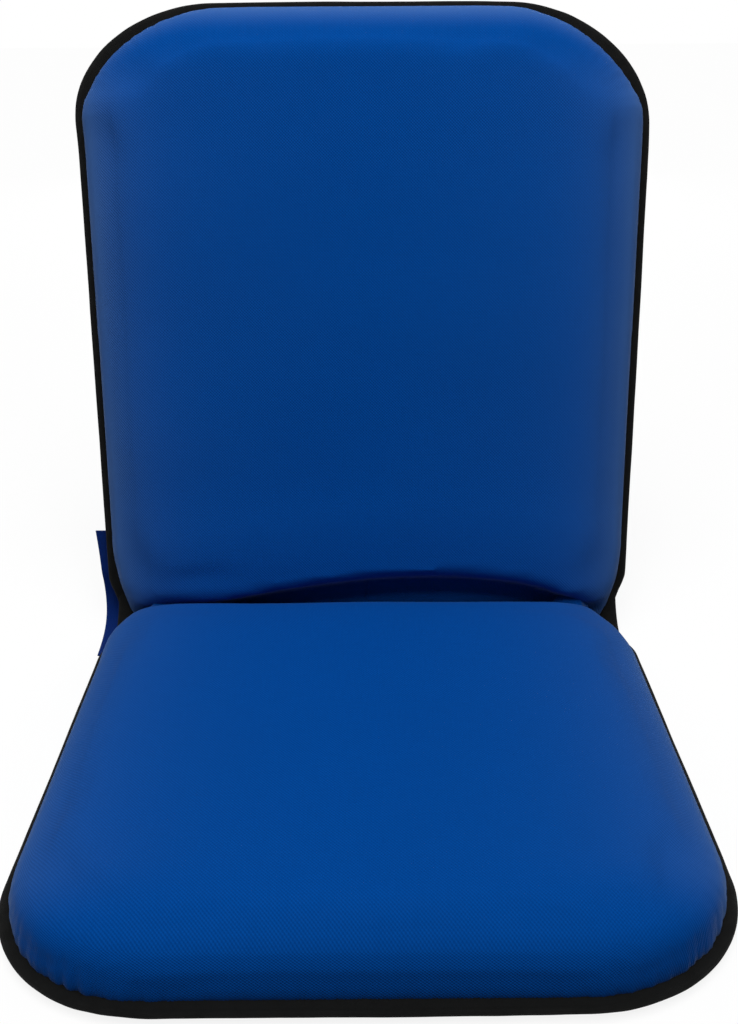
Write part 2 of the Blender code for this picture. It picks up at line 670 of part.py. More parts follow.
def add_crease_panel(seat: Panel, back: Panel, fold, fabric) -> None:
    """The padded stretch of the cover that crosses the fold, full on both sides of the crease line."""
    middle_half = min(panel.half_width(PAD_START) for panel in (seat, back)) - PAD_INSET
    rows = [(seat, a, 0.0) for a in reversed(seat.crease_rows())]
    rows += [(seat, PAD_START, turn) for turn in FOLD_ROWS]
    rows += [(back, PAD_START, 1.0)]
    rows += [(back, PAD_START, turn) for turn in reversed(FOLD_ROWS)]
    rows += [(back, a, 0.0) for a in back.crease_rows()]
    slope = math.tan(OPEN_ANGLE / 2)

    def place(row: int, column: int, layer: int) -> Vector:
        panel, a, turn = rows[row]
        half = panel.half_width(a) - PAD_INSET
        x = CREASE_COLUMNS[column] * (half + (middle_half - half) * turn)
        height = panel.crown(x, a, 0.0) + CREASE_CLEARANCE
        floor = HEAD_RADIUS + CREASE_COVER
        if layer == 0:
            arch = CREASE_ARCH * (1 - (x / half) ** 2) if panel is back else 0.0
            full = min(PAD_FOOT + panel.fullness(x, a, 0.0), (a - arch) * slope)
            height = max(full, height + COVER_THICKNESS)
            floor = CREASE_FLOOR
        angle = math.atan2(height, a)
        radius = math.hypot(a, height)
        lip = floor if turn == 1.0 else max(height / math.sin(OPEN_ANGLE / 2), floor)
        radius += (lip - radius) * turn
        angle += (OPEN_ANGLE / 2 - angle) * turn
        if panel is back:
            angle = OPEN_ANGLE - angle
        return Vector((x, -radius * math.cos(angle), radius * math.sin(angle)))

    add_piece("crease_panel", layered(len(rows) - 1, len(CREASE_COLUMNS) - 1, place), fabric, fold)


def add_rear_panel(fold, fabric) -> None:
    """The fabric behind the fold: sewn low on the back's rear, hanging to the ground and under the seat."""
    skin = COVER_THICKNESS
    start = back_to_fold(REAR_PANEL_TOP, GROUND - GAP)
    leave = back_to_fold(REAR_PANEL_TOP - REAR_PANEL_SEWN, GROUND - GAP)
    fall = back_to_fold(REAR_PANEL_TOP - REAR_PANEL_SEWN - REAR_PANEL_DROP, GROUND - GAP)
    foot = GROUND + GAP
    touch = (REAR_PANEL_TOUCH, foot)
    swing = (REAR_PANEL_TOUCH + REAR_PANEL_SAG, foot)
    end = (GAP - FABRIC_START, foot)
    path = [start]
    for i in range(REAR_PANEL_STEPS + 1):
        t = i / REAR_PANEL_STEPS
        weights = ((1 - t) ** 3, 3 * t * (1 - t) ** 2, 3 * t * t * (1 - t), t**3)
        spots = (leave, fall, swing, touch)
        path.append(tuple(sum(w * p[k] for w, p in zip(weights, spots)) for k in range(2)))
    path.append(end)

    def place(row: int, column: int, layer: int) -> Vector:
        before = Vector(path[max(row - 1, 0)])
        after = Vector(path[min(row + 1, len(path) - 1)])
        ahead = (after - before).normalized()
        outward = Vector((-ahead.y, ahead.x)) * skin * layer
        x = REAR_PANEL_RIGHT if column else -REAR_PANEL_LEFT
        return Vector((x, path[row][0] + outward.x, path[row][1] + outward.y))

    add_piece("rear_hinge_panel", layered(len(path) - 1, 1, place), fabric, fold)


def main() -> None:
    """Build the lounger in its photographed position."""
    clear_scene()
    blue = make_material("blue_polyester_twill", (0.001, 0.053, 0.262), 0.75, 0.0)
    base_blue = make_material("blue_base_fabric", (0.001, 0.040, 0.200), 0.8, 0.0)
    black = make_material("black_binding_tape", (0.008, 0.009, 0.008), 0.7, 0.0)
    foam = make_material("polyurethane_foam", (0.75, 0.72, 0.60), 0.95, 0.0)
    steel = make_material("painted_steel", (0.05, 0.05, 0.055), 0.45, 0.8)
    zinc = make_material("zinc_plated_steel", (0.55, 0.55, 0.53), 0.35, 1.0)
    webbing = make_material("black_webbing", (0.015, 0.015, 0.015), 0.85, 0.0)

    pivot = (0.0, PIVOT_Y, PIVOT_HEIGHT)
    seat_frame = make_frame("seat_frame", pivot, (0.0, 0.0, math.pi))
    back_frame = make_frame("back_frame", pivot, (math.pi / 2 - RECLINE, 0.0, 0.0))
    fold = make_frame("fold_frame", pivot, (0.0, 0.0, 0.0))
    seat = Panel(
        name="seat",
        face="top",
        rear="bottom",
        length=SEAT_LENGTH,
        end_width=SEAT_END_WIDTH,
        waist_length=SEAT_WAIST_LENGTH,
        end_roll=SEAT_END_ROLL,
        straps=SEAT_STRAP_COUNT,
        turn=-1,
        frame=seat_frame,
    )
    back = Panel(
        name="back",
        face="front",
        rear="rear",
        length=BACK_LENGTH,
        end_width=BACK_END_WIDTH,
        waist_length=BACK_WAIST_LENGTH,
        end_roll=ROLL,
        straps=BACK_STRAP_COUNT,
        turn=1,
        frame=back_frame,
    )

    for panel in (seat, back):
        add_frame(panel, steel, webbing)
        add_cushion(panel, blue, base_blue, foam)
        add_binding(panel, black)
    for side, word in ((-1, "left"), (1, "right")):
        add_hinge(side, word, seat, back, steel, zinc)
    add_crease_panel(seat, back, fold, blue)
    add_rear_panel(fold, base_blue)


main()
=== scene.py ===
"""Dresses the folding sun lounger: padded seat and back, bound edges, fold cloths, steel frame and hinges."""

import json
import logging
import math
from dataclasses import dataclass, field
from enum import Enum

import bpy
import numpy as np
from mathutils import Matrix, Vector, noise
from mathutils.kdtree import KDTree


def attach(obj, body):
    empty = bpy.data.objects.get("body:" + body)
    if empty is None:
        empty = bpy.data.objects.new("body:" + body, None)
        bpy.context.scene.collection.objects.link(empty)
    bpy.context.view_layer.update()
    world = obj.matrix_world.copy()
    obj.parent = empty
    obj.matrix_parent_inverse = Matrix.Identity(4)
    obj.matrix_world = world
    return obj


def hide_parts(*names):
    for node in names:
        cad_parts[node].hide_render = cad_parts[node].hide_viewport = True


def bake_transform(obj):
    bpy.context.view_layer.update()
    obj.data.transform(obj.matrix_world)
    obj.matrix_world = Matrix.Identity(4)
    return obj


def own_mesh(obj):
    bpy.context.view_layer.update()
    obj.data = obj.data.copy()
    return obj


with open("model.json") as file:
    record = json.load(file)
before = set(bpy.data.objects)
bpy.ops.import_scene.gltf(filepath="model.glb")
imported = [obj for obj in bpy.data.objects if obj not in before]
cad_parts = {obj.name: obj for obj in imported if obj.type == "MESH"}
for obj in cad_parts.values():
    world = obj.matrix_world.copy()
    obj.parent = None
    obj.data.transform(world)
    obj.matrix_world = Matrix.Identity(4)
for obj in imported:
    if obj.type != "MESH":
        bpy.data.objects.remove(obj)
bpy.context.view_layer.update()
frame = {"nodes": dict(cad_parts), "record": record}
LOG = logging.getLogger("lounger")

PIVOT_Y = 0.10205635
PIVOT_HEIGHT = 0.036
RECLINE = math.radians(19.0)
# How far the back pad's lower end stands back from the crease, across its width
BACK_ARCH = (
    (-0.20, 0.0), (-0.148, 0.006), (-0.085, 0.018), (0.0, 0.030), (0.077, 0.031),
    (0.123, 0.028), (0.165, 0.022), (0.193, 0.011), (0.208, 0.0),
)
# Where across the fold the crease cloth rises over a hinge, and where it dips again past it
HINGE_RISE = (0.174, 0.188)
HINGE_DIP = (0.203, 0.211)
# Where the pads' waist corners are drawn in: away from the fold, and across
NIP_ALONG = (0.015, 0.070)
NIP_ACROSS = (0.12, 0.215)
# Where the pads' waist corners are shifted along the panel: across, and away from the fold
TUCK_ACROSS = (0.165, 0.205)
TUCK_ALONG = (0.0, 0.035)
# The pads' stuffing: simulated steps, pressure, rounds of evening out, and the share kept in each direction
STUFFING_STEPS = 20
STUFFING_PRESSURE = 4.0
STUFFING_ROUNDS = 14
STUFFING_SHARE = (0.5, 0.5, 1.0)
# Distance from the pad's end at the fold over which the stuffing takes hold
STUFFING_REACH = 0.075
# Spacing of the puckers along the seam, coarse and fine, and how far the flats wander
PUCKER_SPACING = 0.0165
FINE_PUCKER_SPACING = 0.0088
FLAT_WANDER = 0.0014
WHITE = (1.0, 1.0, 1.0, 1.0)


class Lay(Enum):
    """Which of the two panels a piece belongs to."""

    SEAT = "seat"
    BACK = "back"


class Weave(Enum):
    """How the threads of a cloth cross."""

    TWILL = "twill"
    PLAIN = "plain"


class Coat(Enum):
    """What covers a steel piece."""

    POWDER = "powder"
    ZINC = "zinc"


# Shader building


class Graph:
    """A shader tree that is being wired."""

    def __init__(self, tree: bpy.types.NodeTree) -> None:
        """Takes the tree to wire."""
        self.tree = tree

    def add(self, kind: str) -> bpy.types.Node:
        """A new node of a kind."""
        return self.tree.nodes.new(kind)

    def feed(self, socket: bpy.types.NodeSocket, value: object) -> None:
        """Links a socket to another one, or sets its own value.

        Args:
            socket: the input to fill.
            value: an output socket, or a number, colour or vector.
        """
        if isinstance(value, bpy.types.NodeSocket):
            self.tree.links.new(value, socket)
        else:
            socket.default_value = value

    def math(
        self, operation: str, first: object, second: object = 0.0, third: object = 0.0
    ) -> bpy.types.NodeSocket:
        """One sum.

        Args:
            operation: the name of the sum.
            first: first number or socket.
            second: second number or socket.
            third: third number or socket.

        Returns:
            The socket that holds the result.
        """
        node = self.add("ShaderNodeMath")
        node.operation = operation
        for socket, value in zip(node.inputs, (first, second, third)):
            self.feed(socket, value)
        return node.outputs[0]

    def spread(
        self, value: object, low: float, high: float, to_low: float, to_high: float
    ) -> bpy.types.NodeSocket:
        """Maps a range of values smoothly onto another one.

        Args:
            value: the socket to map.
            low: start of the range that is read.
            high: end of the range that is read.
            to_low: what low becomes.
            to_high: what high becomes.

        Returns:
            The mapped socket.
        """
        node = self.add("ShaderNodeMapRange")
        node.interpolation_type = "SMOOTHSTEP"
        names = ("Value", "From Min", "From Max", "To Min", "To Max")
        for name, number in zip(names, (value, low, high, to_low, to_high)):
            self.feed(node.inputs[name], number)
        return node.outputs[0]

    def mix(self, share: object, first: object, second: object) -> bpy.types.NodeSocket:
        """A colour between two others.

        Args:
            share: how much of the second colour.
            first: first colour.
            second: second colour.

        Returns:
            The mixed colour's socket.
        """
        node = self.add("ShaderNodeMix")
        node.data_type = "RGBA"
        self.feed(node.inputs[0], share)
        self.feed(node.inputs[6], first)
        self.feed(node.inputs[7], second)
        return node.outputs[2]

    def noise(
        self, vector: object, scale: object, detail: float = 4.0, roughness: float = 0.55
    ) -> bpy.types.NodeSocket:
        """Cloudy noise.

        Args:
            vector: where it is read.
            scale: clouds in a metre.
            detail: how many finer layers.
            roughness: strength of the finer layers.

        Returns:
            The noise value's socket.
        """
        node = self.add("ShaderNodeTexNoise")
        self.feed(node.inputs["Vector"], vector)
        self.feed(node.inputs["Scale"], scale)
        node.inputs["Detail"].default_value = detail
        node.inputs["Roughness"].default_value = roughness
        return node.outputs[0]

    def group(self, tree: bpy.types.NodeTree, **values: object) -> bpy.types.Node:
        """A shared effect, placed with its own values.

        Args:
            tree: the effect.
            values: what feeds its inputs, by name.

        Returns:
            The group node.
        """
        node = self.add("ShaderNodeGroup")
        node.node_tree = tree
        for name, value in values.items():
            self.feed(node.inputs[name], value)
        return node


class Effects:
    """Shared effects, each built once."""

    built: dict[str, bpy.types.NodeTree] = {}

    @classmethod
    def start(
        cls, name: str, inputs: dict[str, str], outputs: list[str]
    ) -> tuple[Graph, dict, bpy.types.Node]:
        """Opens a new effect.

        Args:
            name: the effect's name.
            inputs: socket kinds by input name.
            outputs: names of the values it puts out.

        Returns:
            The graph, its input sockets by name, and its output node.
        """
        tree = bpy.data.node_groups.new(name, "ShaderNodeTree")
        for label, kind in inputs.items():
            tree.interface.new_socket(label, in_out="INPUT", socket_type=kind)
        for label in outputs:
            tree.interface.new_socket(label, in_out="OUTPUT", socket_type="NodeSocketFloat")
        graph = Graph(tree)
        entry = graph.add("NodeGroupInput")
        return graph, {label: entry.outputs[label] for label in inputs}, graph.add("NodeGroupOutput")

    @classmethod
    def weave(cls, kind: Weave) -> bpy.types.NodeTree:
        """Threads of a cloth: their height, and the shade that thick and thin yarns give.

        Args:
            kind: twill or plain weave.

        Returns:
            The effect.
        """
        name = f"{kind.value}_weave"
        if name in cls.built:
            return cls.built[name]
        graph, entry, exit_node = cls.start(
            name, {"Vector": "NodeSocketVector", "Threads": "NodeSocketFloat"}, ["Height", "Shade"]
        )
        parts = graph.add("ShaderNodeSeparateXYZ")
        graph.feed(parts.inputs[0], entry["Vector"])
        turns = graph.math("MULTIPLY", entry["Threads"], 2 * math.pi)
        across = graph.math("MULTIPLY", parts.outputs[0], turns)
        along = graph.math("MULTIPLY", parts.outputs[1], turns)
        if kind is Weave.TWILL:
            rib = graph.math("SINE", graph.math("ADD", across, along))
            broken = graph.math("SINE", graph.math("SUBTRACT", across, along))
            height = graph.math("MULTIPLY_ADD", broken, 0.18, graph.math("MULTIPLY_ADD", rib, 0.32, 0.5))
        else:
            crossing = graph.math("MULTIPLY", graph.math("SINE", across), graph.math("SINE", along))
            height = graph.math("MULTIPLY_ADD", crossing, 0.5, 0.5)
        yarns = graph.add("ShaderNodeCombineXYZ")
        graph.feed(yarns.inputs[0], graph.math("MULTIPLY", parts.outputs[0], 700.0))
        graph.feed(yarns.inputs[1], graph.math("MULTIPLY", parts.outputs[1], 45.0))
        picks = graph.add("ShaderNodeCombineXYZ")
        graph.feed(picks.inputs[0], graph.math("MULTIPLY", parts.outputs[0], 45.0))
        graph.feed(picks.inputs[1], graph.math("MULTIPLY", parts.outputs[1], 700.0))
        lengthwise = graph.noise(yarns.outputs[0], 1.0, 2.0)
        slub = graph.math("ADD", lengthwise, graph.noise(picks.outputs[0], 1.0, 2.0))
        graph.feed(exit_node.inputs["Height"], height)
        graph.feed(exit_node.inputs["Shade"], graph.math("MULTIPLY", slub, 0.5))
        cls.built[name] = graph.tree
        return graph.tree

    @classmethod
    def mottle(cls) -> bpy.types.NodeTree:
        """Slow cloudy variation, broad and fine."""
        if "mottle" in cls.built:
            return cls.built["mottle"]
        graph, entry, exit_node = cls.start(
            "mottle", {"Vector": "NodeSocketVector", "Scale": "NodeSocketFloat"}, ["Broad", "Fine"]
        )
        graph.feed(exit_node.inputs["Broad"], graph.noise(entry["Vector"], entry["Scale"], 3.0))
        finer = graph.math("MULTIPLY", entry["Scale"], 14.0)
        graph.feed(exit_node.inputs["Fine"], graph.noise(entry["Vector"], finer, 5.0, 0.65))
        cls.built["mottle"] = graph.tree
        return graph.tree

    @classmethod
    def scuffs(cls) -> bpy.types.NodeTree:
        """Rubbed patches and thin scratches as one mask."""
        if "scuffs" in cls.built:
            return cls.built["scuffs"]
        graph, entry, exit_node = cls.start(
            "scuffs", {"Vector": "NodeSocketVector", "Scale": "NodeSocketFloat"}, ["Mask"]
        )
        patches = graph.spread(graph.noise(entry["Vector"], entry["Scale"], 6.0, 0.7), 0.60, 0.74, 0.0, 1.0)
        stretch = graph.add("ShaderNodeVectorMath")
        stretch.operation = "MULTIPLY"
        graph.feed(stretch.inputs[0], entry["Vector"])
        stretch.inputs[1].default_value = (1.0, 14.0, 14.0)
        streaks = graph.noise(stretch.outputs[0], graph.math("MULTIPLY", entry["Scale"], 1.6), 2.0)
        scratches = graph.spread(streaks, 0.66, 0.72, 0.0, 0.7)
        graph.feed(exit_node.inputs["Mask"], graph.math("MAXIMUM", patches, scratches))
        cls.built["scuffs"] = graph.tree
        return graph.tree


# Finishes


@dataclass(frozen=True)
class ClothFinish:
    """A woven cloth, read on the piece's own UV map in metres.

    Attributes:
        name: the material's name.
        colour: on top of the threads.
        deep: between the threads.
        painted_sheen_colour: painted sheen, the lighter colour put where the pads' rolled edges catch the
            light.
        weave: how the threads cross.
        threads: threads in a metre.
        relief: height of the threads.
        roughness: middle roughness.
        sheen: strength of the fuzz.
        sheen_tint: colour of the fuzz.
        gloss: strength of the shine.
        slot: the slot it stands for; not used.
    """

    name: str
    colour: tuple[float, float, float]
    deep: tuple[float, float, float]
    painted_sheen_colour: tuple[float, float, float]
    weave: Weave
    threads: float
    relief: float
    roughness: float
    sheen: float
    sheen_tint: tuple[float, float, float]
    gloss: float
    slot: str

    def material(self) -> bpy.types.Material:
        """The cloth's material.

        Returns:
            The material, made on the first call.
        """
        if self.name in bpy.data.materials:
            return bpy.data.materials[self.name]
        material = bpy.data.materials.new(self.name)
        material.use_nodes = True
        graph = Graph(material.node_tree)
        shader = material.node_tree.nodes["Principled BSDF"]
        place = graph.add("ShaderNodeTexCoord")
        weave = graph.group(Effects.weave(self.weave), Vector=place.outputs["UV"], Threads=self.threads)
        mottle = graph.group(Effects.mottle(), Vector=place.outputs["Object"], Scale=7.0)
        raised = graph.spread(weave.outputs["Height"], 0.1, 0.8, 0.0, 1.0)
        threads = graph.mix(raised, (*self.deep, 1.0), (*self.colour, 1.0))
        worn = graph.math("MULTIPLY", graph.spread(mottle.outputs["Broad"], 0.35, 0.75, 0.0, 1.0), 0.22)
        shaded = graph.mix(worn, threads, (*self.deep, 1.0))
        uneven = graph.spread(weave.outputs["Shade"], 0.40, 0.62, 0.0, 0.30)
        slub = graph.mix(uneven, shaded, (*self.deep, 1.0))
        # Painted sheen: the cloth is mixed towards its lighter edge colour by the pad's mask, made patchy by
        # the broad mottle, where the edges catch light.
        painted_sheen = graph.add("ShaderNodeAttribute")
        painted_sheen.attribute_name = "painted_sheen"
        patchy = graph.spread(mottle.outputs["Broad"], 0.2, 0.8, 0.75, 1.0)
        blend_weight = graph.math("MULTIPLY", painted_sheen.outputs["Fac"], patchy)
        graph.feed(shader.inputs["Base Color"], graph.mix(blend_weight, slub, (*self.painted_sheen_colour, 1.0)))
        rough = graph.spread(mottle.outputs["Fine"], 0.3, 0.7, self.roughness - 0.06, self.roughness + 0.06)
        graph.feed(shader.inputs["Roughness"], rough)
        crumple = graph.math("MULTIPLY_ADD", mottle.outputs["Fine"], 0.35, weave.outputs["Height"])
        bump = graph.add("ShaderNodeBump")
        bump.inputs["Strength"].default_value = 0.6
        bump.inputs["Distance"].default_value = self.relief
        graph.feed(bump.inputs["Height"], crumple)
        graph.feed(shader.inputs["Normal"], bump.outputs[0])
        shader.inputs["Sheen Weight"].default_value = self.sheen
        shader.inputs["Sheen Roughness"].default_value = 0.28
        shader.inputs["Sheen Tint"].default_value = (*self.sheen_tint, 1.0)
        shader.inputs["Specular IOR Level"].default_value = self.gloss
        return material


@dataclass(frozen=True)
class SteelFinish:
    """Coated steel with rubbed patches."""

    name: str
    coat: Coat
    colour: tuple[float, float, float]
    bare: tuple[float, float, float]
    roughness: float

    def material(self) -> bpy.types.Material:
        """The steel's material.

        Returns:
            The material, made on the first call.
        """
        if self.name in bpy.data.materials:
            return bpy.data.materials[self.name]
        material = bpy.data.materials.new(self.name)
        material.use_nodes = True
        graph = Graph(material.node_tree)
        shader = material.node_tree.nodes["Principled BSDF"]
        place = graph.add("ShaderNodeTexCoord").outputs["Object"]
        scuffs = graph.group(Effects.scuffs(), Vector=place, Scale=42.0).outputs["Mask"]
        mottle = graph.group(Effects.mottle(), Vector=place, Scale=60.0)
        if self.coat is Coat.POWDER:
            cloud = graph.math("MULTIPLY", mottle.outputs["Fine"], 0.12)
            graph.feed(shader.inputs["Metallic"], graph.math("MULTIPLY", scuffs, 0.8))
        else:
            cloud = graph.spread(mottle.outputs["Broad"], 0.3, 0.7, 0.0, 0.5)
            shader.inputs["Metallic"].default_value = 0.95
        body = graph.mix(cloud, (*self.colour, 1.0), (*self.bare, 1.0))
        graph.feed(shader.inputs["Base Color"], graph.mix(scuffs, body, (*self.bare, 1.0)))
        rough = graph.spread(mottle.outputs["Fine"], 0.3, 0.7, self.roughness - 0.08, self.roughness + 0.1)
        graph.feed(shader.inputs["Roughness"], rough)
        bump = graph.add("ShaderNodeBump")
        bump.inputs["Strength"].default_value = 0.3
        bump.inputs["Distance"].default_value = 0.0002
        graph.feed(bump.inputs["Height"], mottle.outputs["Fine"])
        graph.feed(shader.inputs["Normal"], bump.outputs[0])
        return material


COVER = ClothFinish(
    name="blue_twill",
    colour=(0.0002, 0.0595, 0.294),
    deep=(0.0001, 0.0445, 0.225),
    # Painted sheen: the lighter blue put on the pads' edges where they catch the light.
    painted_sheen_colour=(0.048, 0.125, 0.350),
    weave=Weave.TWILL,
    threads=380.0,
    relief=0.0004,
    roughness=0.80,
    sheen=0.15,
    sheen_tint=(0.60, 0.75, 1.0),
    gloss=0.02,
    slot="cover_fabric",
)
# Dark navy: partly the base cloth's own colour, partly painted shade, darkened for the rear flap, which lies
# in shadow.
BASE = ClothFinish(
    name="blue_base_cloth",
    colour=(0.0006, 0.020, 0.150),
    deep=(0.0004, 0.012, 0.098),
    painted_sheen_colour=(0.0006, 0.020, 0.150),
    weave=Weave.PLAIN,
    threads=450.0,
    relief=0.0003,
    roughness=0.82,
    sheen=0.06,
    sheen_tint=(0.35, 0.55, 1.0),
    gloss=0.10,
    slot="base_fabric",
)
TAPE = ClothFinish(
    name="black_tape",
    colour=(0.0036, 0.0038, 0.0036),
    deep=(0.0015, 0.0016, 0.0015),
    painted_sheen_colour=(0.0036, 0.0038, 0.0036),
    weave=Weave.PLAIN,
    threads=520.0,
    relief=0.0003,
    roughness=0.78,
    sheen=0.015,
    sheen_tint=(0.8, 0.85, 0.9),
    gloss=0.10,
    slot="binding_tape",
)
WEBBING = ClothFinish(
    name="black_webbing",
    colour=(0.016, 0.016, 0.016),
    deep=(0.007, 0.007, 0.007),
    painted_sheen_colour=(0.016, 0.016, 0.016),
    weave=Weave.TWILL,
    threads=500.0,
    relief=0.0004,
    roughness=0.75,
    sheen=0.04,
    sheen_tint=(0.8, 0.85, 0.9),
    gloss=0.15,
    slot="webbing",
)
POWDER = SteelFinish("black_powder_coat", Coat.POWDER, (0.030, 0.030, 0.033), (0.32, 0.31, 0.30), 0.48)
ZINC = SteelFinish("zinc_plate", Coat.ZINC, (0.50, 0.51, 0.50), (0.62, 0.61, 0.57), 0.34)


# Modelling


class Bench:
    """The operators that shape a piece."""

    @staticmethod
    def clear() -> None:
        """Leaves edit mode and deselects everything."""
        if bpy.context.object is not None and bpy.context.object.mode != "OBJECT":
            bpy.ops.object.mode_set(mode="OBJECT")
        bpy.ops.object.select_all(action="DESELECT")

    @staticmethod
    def pick(piece: bpy.types.Object) -> None:
        """Makes a piece the only one selected."""
        Bench.clear()
        piece.select_set(True)
        bpy.context.view_layer.objects.active = piece

    @staticmethod
    def grid(name: str, columns: int, rows: int) -> bpy.types.Object:
        """A flat grid of side 2, to be shaped.

        Args:
            name: the piece's name.
            columns: faces along X.
            rows: faces along Y.

        Returns:
            The new piece.
        """
        Bench.clear()
        bpy.ops.mesh.primitive_grid_add(x_subdivisions=columns, y_subdivisions=rows, size=2.0)
        piece = bpy.context.object
        piece.name = name
        piece.data.name = name
        return piece

    @staticmethod
    def points(piece: bpy.types.Object) -> np.ndarray:
        """The corners of a piece's mesh."""
        found = np.empty(len(piece.data.vertices) * 3, np.float32)
        piece.data.vertices.foreach_get("co", found)
        return found.reshape(-1, 3).astype(float)

    @staticmethod
    def calm(piece: bpy.types.Object, moves: np.ndarray, rounds: int) -> np.ndarray:
        """Evens out what each corner of a piece moves by, from its neighbours.

        Args:
            piece: the piece.
            moves: each corner's movement.
            rounds: how many times it is evened out.

        Returns:
            The smoother movements.
        """
        ends = np.empty(len(piece.data.edges) * 2, np.int32)
        piece.data.edges.foreach_get("vertices", ends)
        first, second = ends[0::2], ends[1::2]
        count = np.bincount(ends, minlength=len(moves)).astype(float)
        even = moves
        for _ in range(rounds):
            total = np.zeros_like(even)
            np.add.at(total, first, even[second])
            np.add.at(total, second, even[first])
            even = (even + total) / (count + 1)[:, None]
        return even

    @staticmethod
    def normals(piece: bpy.types.Object) -> np.ndarray:
        """The directions that a mesh's corners face."""
        found = np.empty(len(piece.data.vertices) * 3, np.float32)
        piece.data.vertices.foreach_get("normal", found)
        return found.reshape(-1, 3).astype(float)

    @staticmethod
    def place(piece: bpy.types.Object, points: np.ndarray) -> None:
        """Moves the corners of a piece's mesh."""
        piece.data.vertices.foreach_set("co", points.astype(np.float32).ravel())
        piece.data.update()

    @staticmethod
    def modify(piece: bpy.types.Object, kind: str, **settings: object) -> None:
        """Adds a modifier and applies it.

        Args:
            piece: the piece to change.
            kind: the modifier's kind.
            settings: its values by name.
        """
        Bench.pick(piece)
        modifier = piece.modifiers.new(kind.lower(), kind)
        for name, value in settings.items():
            setattr(modifier, name, value)
        bpy.ops.object.modifier_apply(modifier=modifier.name)

    @staticmethod
    def face_out(piece: bpy.types.Object) -> None:
        """Points a piece's faces the same way, outwards."""
        Bench.pick(piece)
        bpy.ops.object.mode_set(mode="EDIT")
        bpy.ops.mesh.select_all(action="SELECT")
        bpy.ops.mesh.normals_make_consistent(inside=False)
        bpy.ops.object.mode_set(mode="OBJECT")

    @staticmethod
    def close(piece: bpy.types.Object, distance: float = 0.00002) -> None:
        """Merges doubled corners, fills the ends and points the faces outwards.

        Args:
            piece: the piece to close.
            distance: corners nearer than this are merged.
        """
        Bench.pick(piece)
        bpy.ops.object.mode_set(mode="EDIT")
        bpy.ops.mesh.select_all(action="SELECT")
        bpy.ops.mesh.remove_doubles(threshold=distance)
        bpy.ops.mesh.fill_holes(sides=0)
        bpy.ops.object.mode_set(mode="OBJECT")
        Bench.face_out(piece)

    @staticmethod
    def smooth(piece: bpy.types.Object, angle: float = 180.0) -> None:
        """Shades a piece smooth, but for edges sharper than an angle in degrees."""
        Bench.pick(piece)
        bpy.ops.object.shade_smooth_by_angle(angle=math.radians(angle))

    @staticmethod
    def map_cloth(piece: bpy.types.Object, flat: np.ndarray) -> None:
        """Gives a piece a UV map in metres.

        Args:
            piece: the piece.
            flat: where each corner lies on the flat cloth.
        """
        layer = piece.data.uv_layers.get("cloth") or piece.data.uv_layers.new(name="cloth")
        corners = np.empty(len(piece.data.loops), np.int32)
        piece.data.loops.foreach_get("vertex_index", corners)
        layer.uv.foreach_set("vector", flat[corners].astype(np.float32).ravel())


def ease(value: np.ndarray, low: float, high: float) -> np.ndarray:
    """A smooth step from 0 at low to 1 at high."""
    share = np.clip((value - low) / (high - low), 0.0, 1.0)
    return share * share * (3 - 2 * share)


def run_along(points: np.ndarray) -> np.ndarray:
    """Distances along a line of points, from 0 at its first one."""
    return np.concatenate([[0.0], np.cumsum(np.linalg.norm(np.diff(points, axis=0), axis=1))])


def tape_ring(count: int) -> tuple[np.ndarray, np.ndarray]:
    """The flattened ring that a folded tape's section follows.

    Args:
        count: how many stretches go round it.

    Returns:
        Places across and up, each between -1 and 1.
    """
    turn = np.linspace(0.0, 2 * math.pi, count + 1)
    across = np.sign(np.cos(turn)) * np.abs(np.cos(turn)) ** 0.45
    up = np.sign(np.sin(turn)) * np.abs(np.sin(turn)) ** 0.75
    return across, up


def wander(values: np.ndarray, rate: float, seed: float) -> np.ndarray:
    """Slow random wander along a line, between about -1 and 1.

    Args:
        values: places along the line.
        rate: waves in a metre.
        seed: which wander.

    Returns:
        The wander at each place.
    """
    table = np.array([noise.noise(Vector((i * 0.25, seed, 0.5))) for i in range(4096)])
    return np.interp(np.asarray(values) * rate, np.arange(4096) * 0.25, table)


# The object


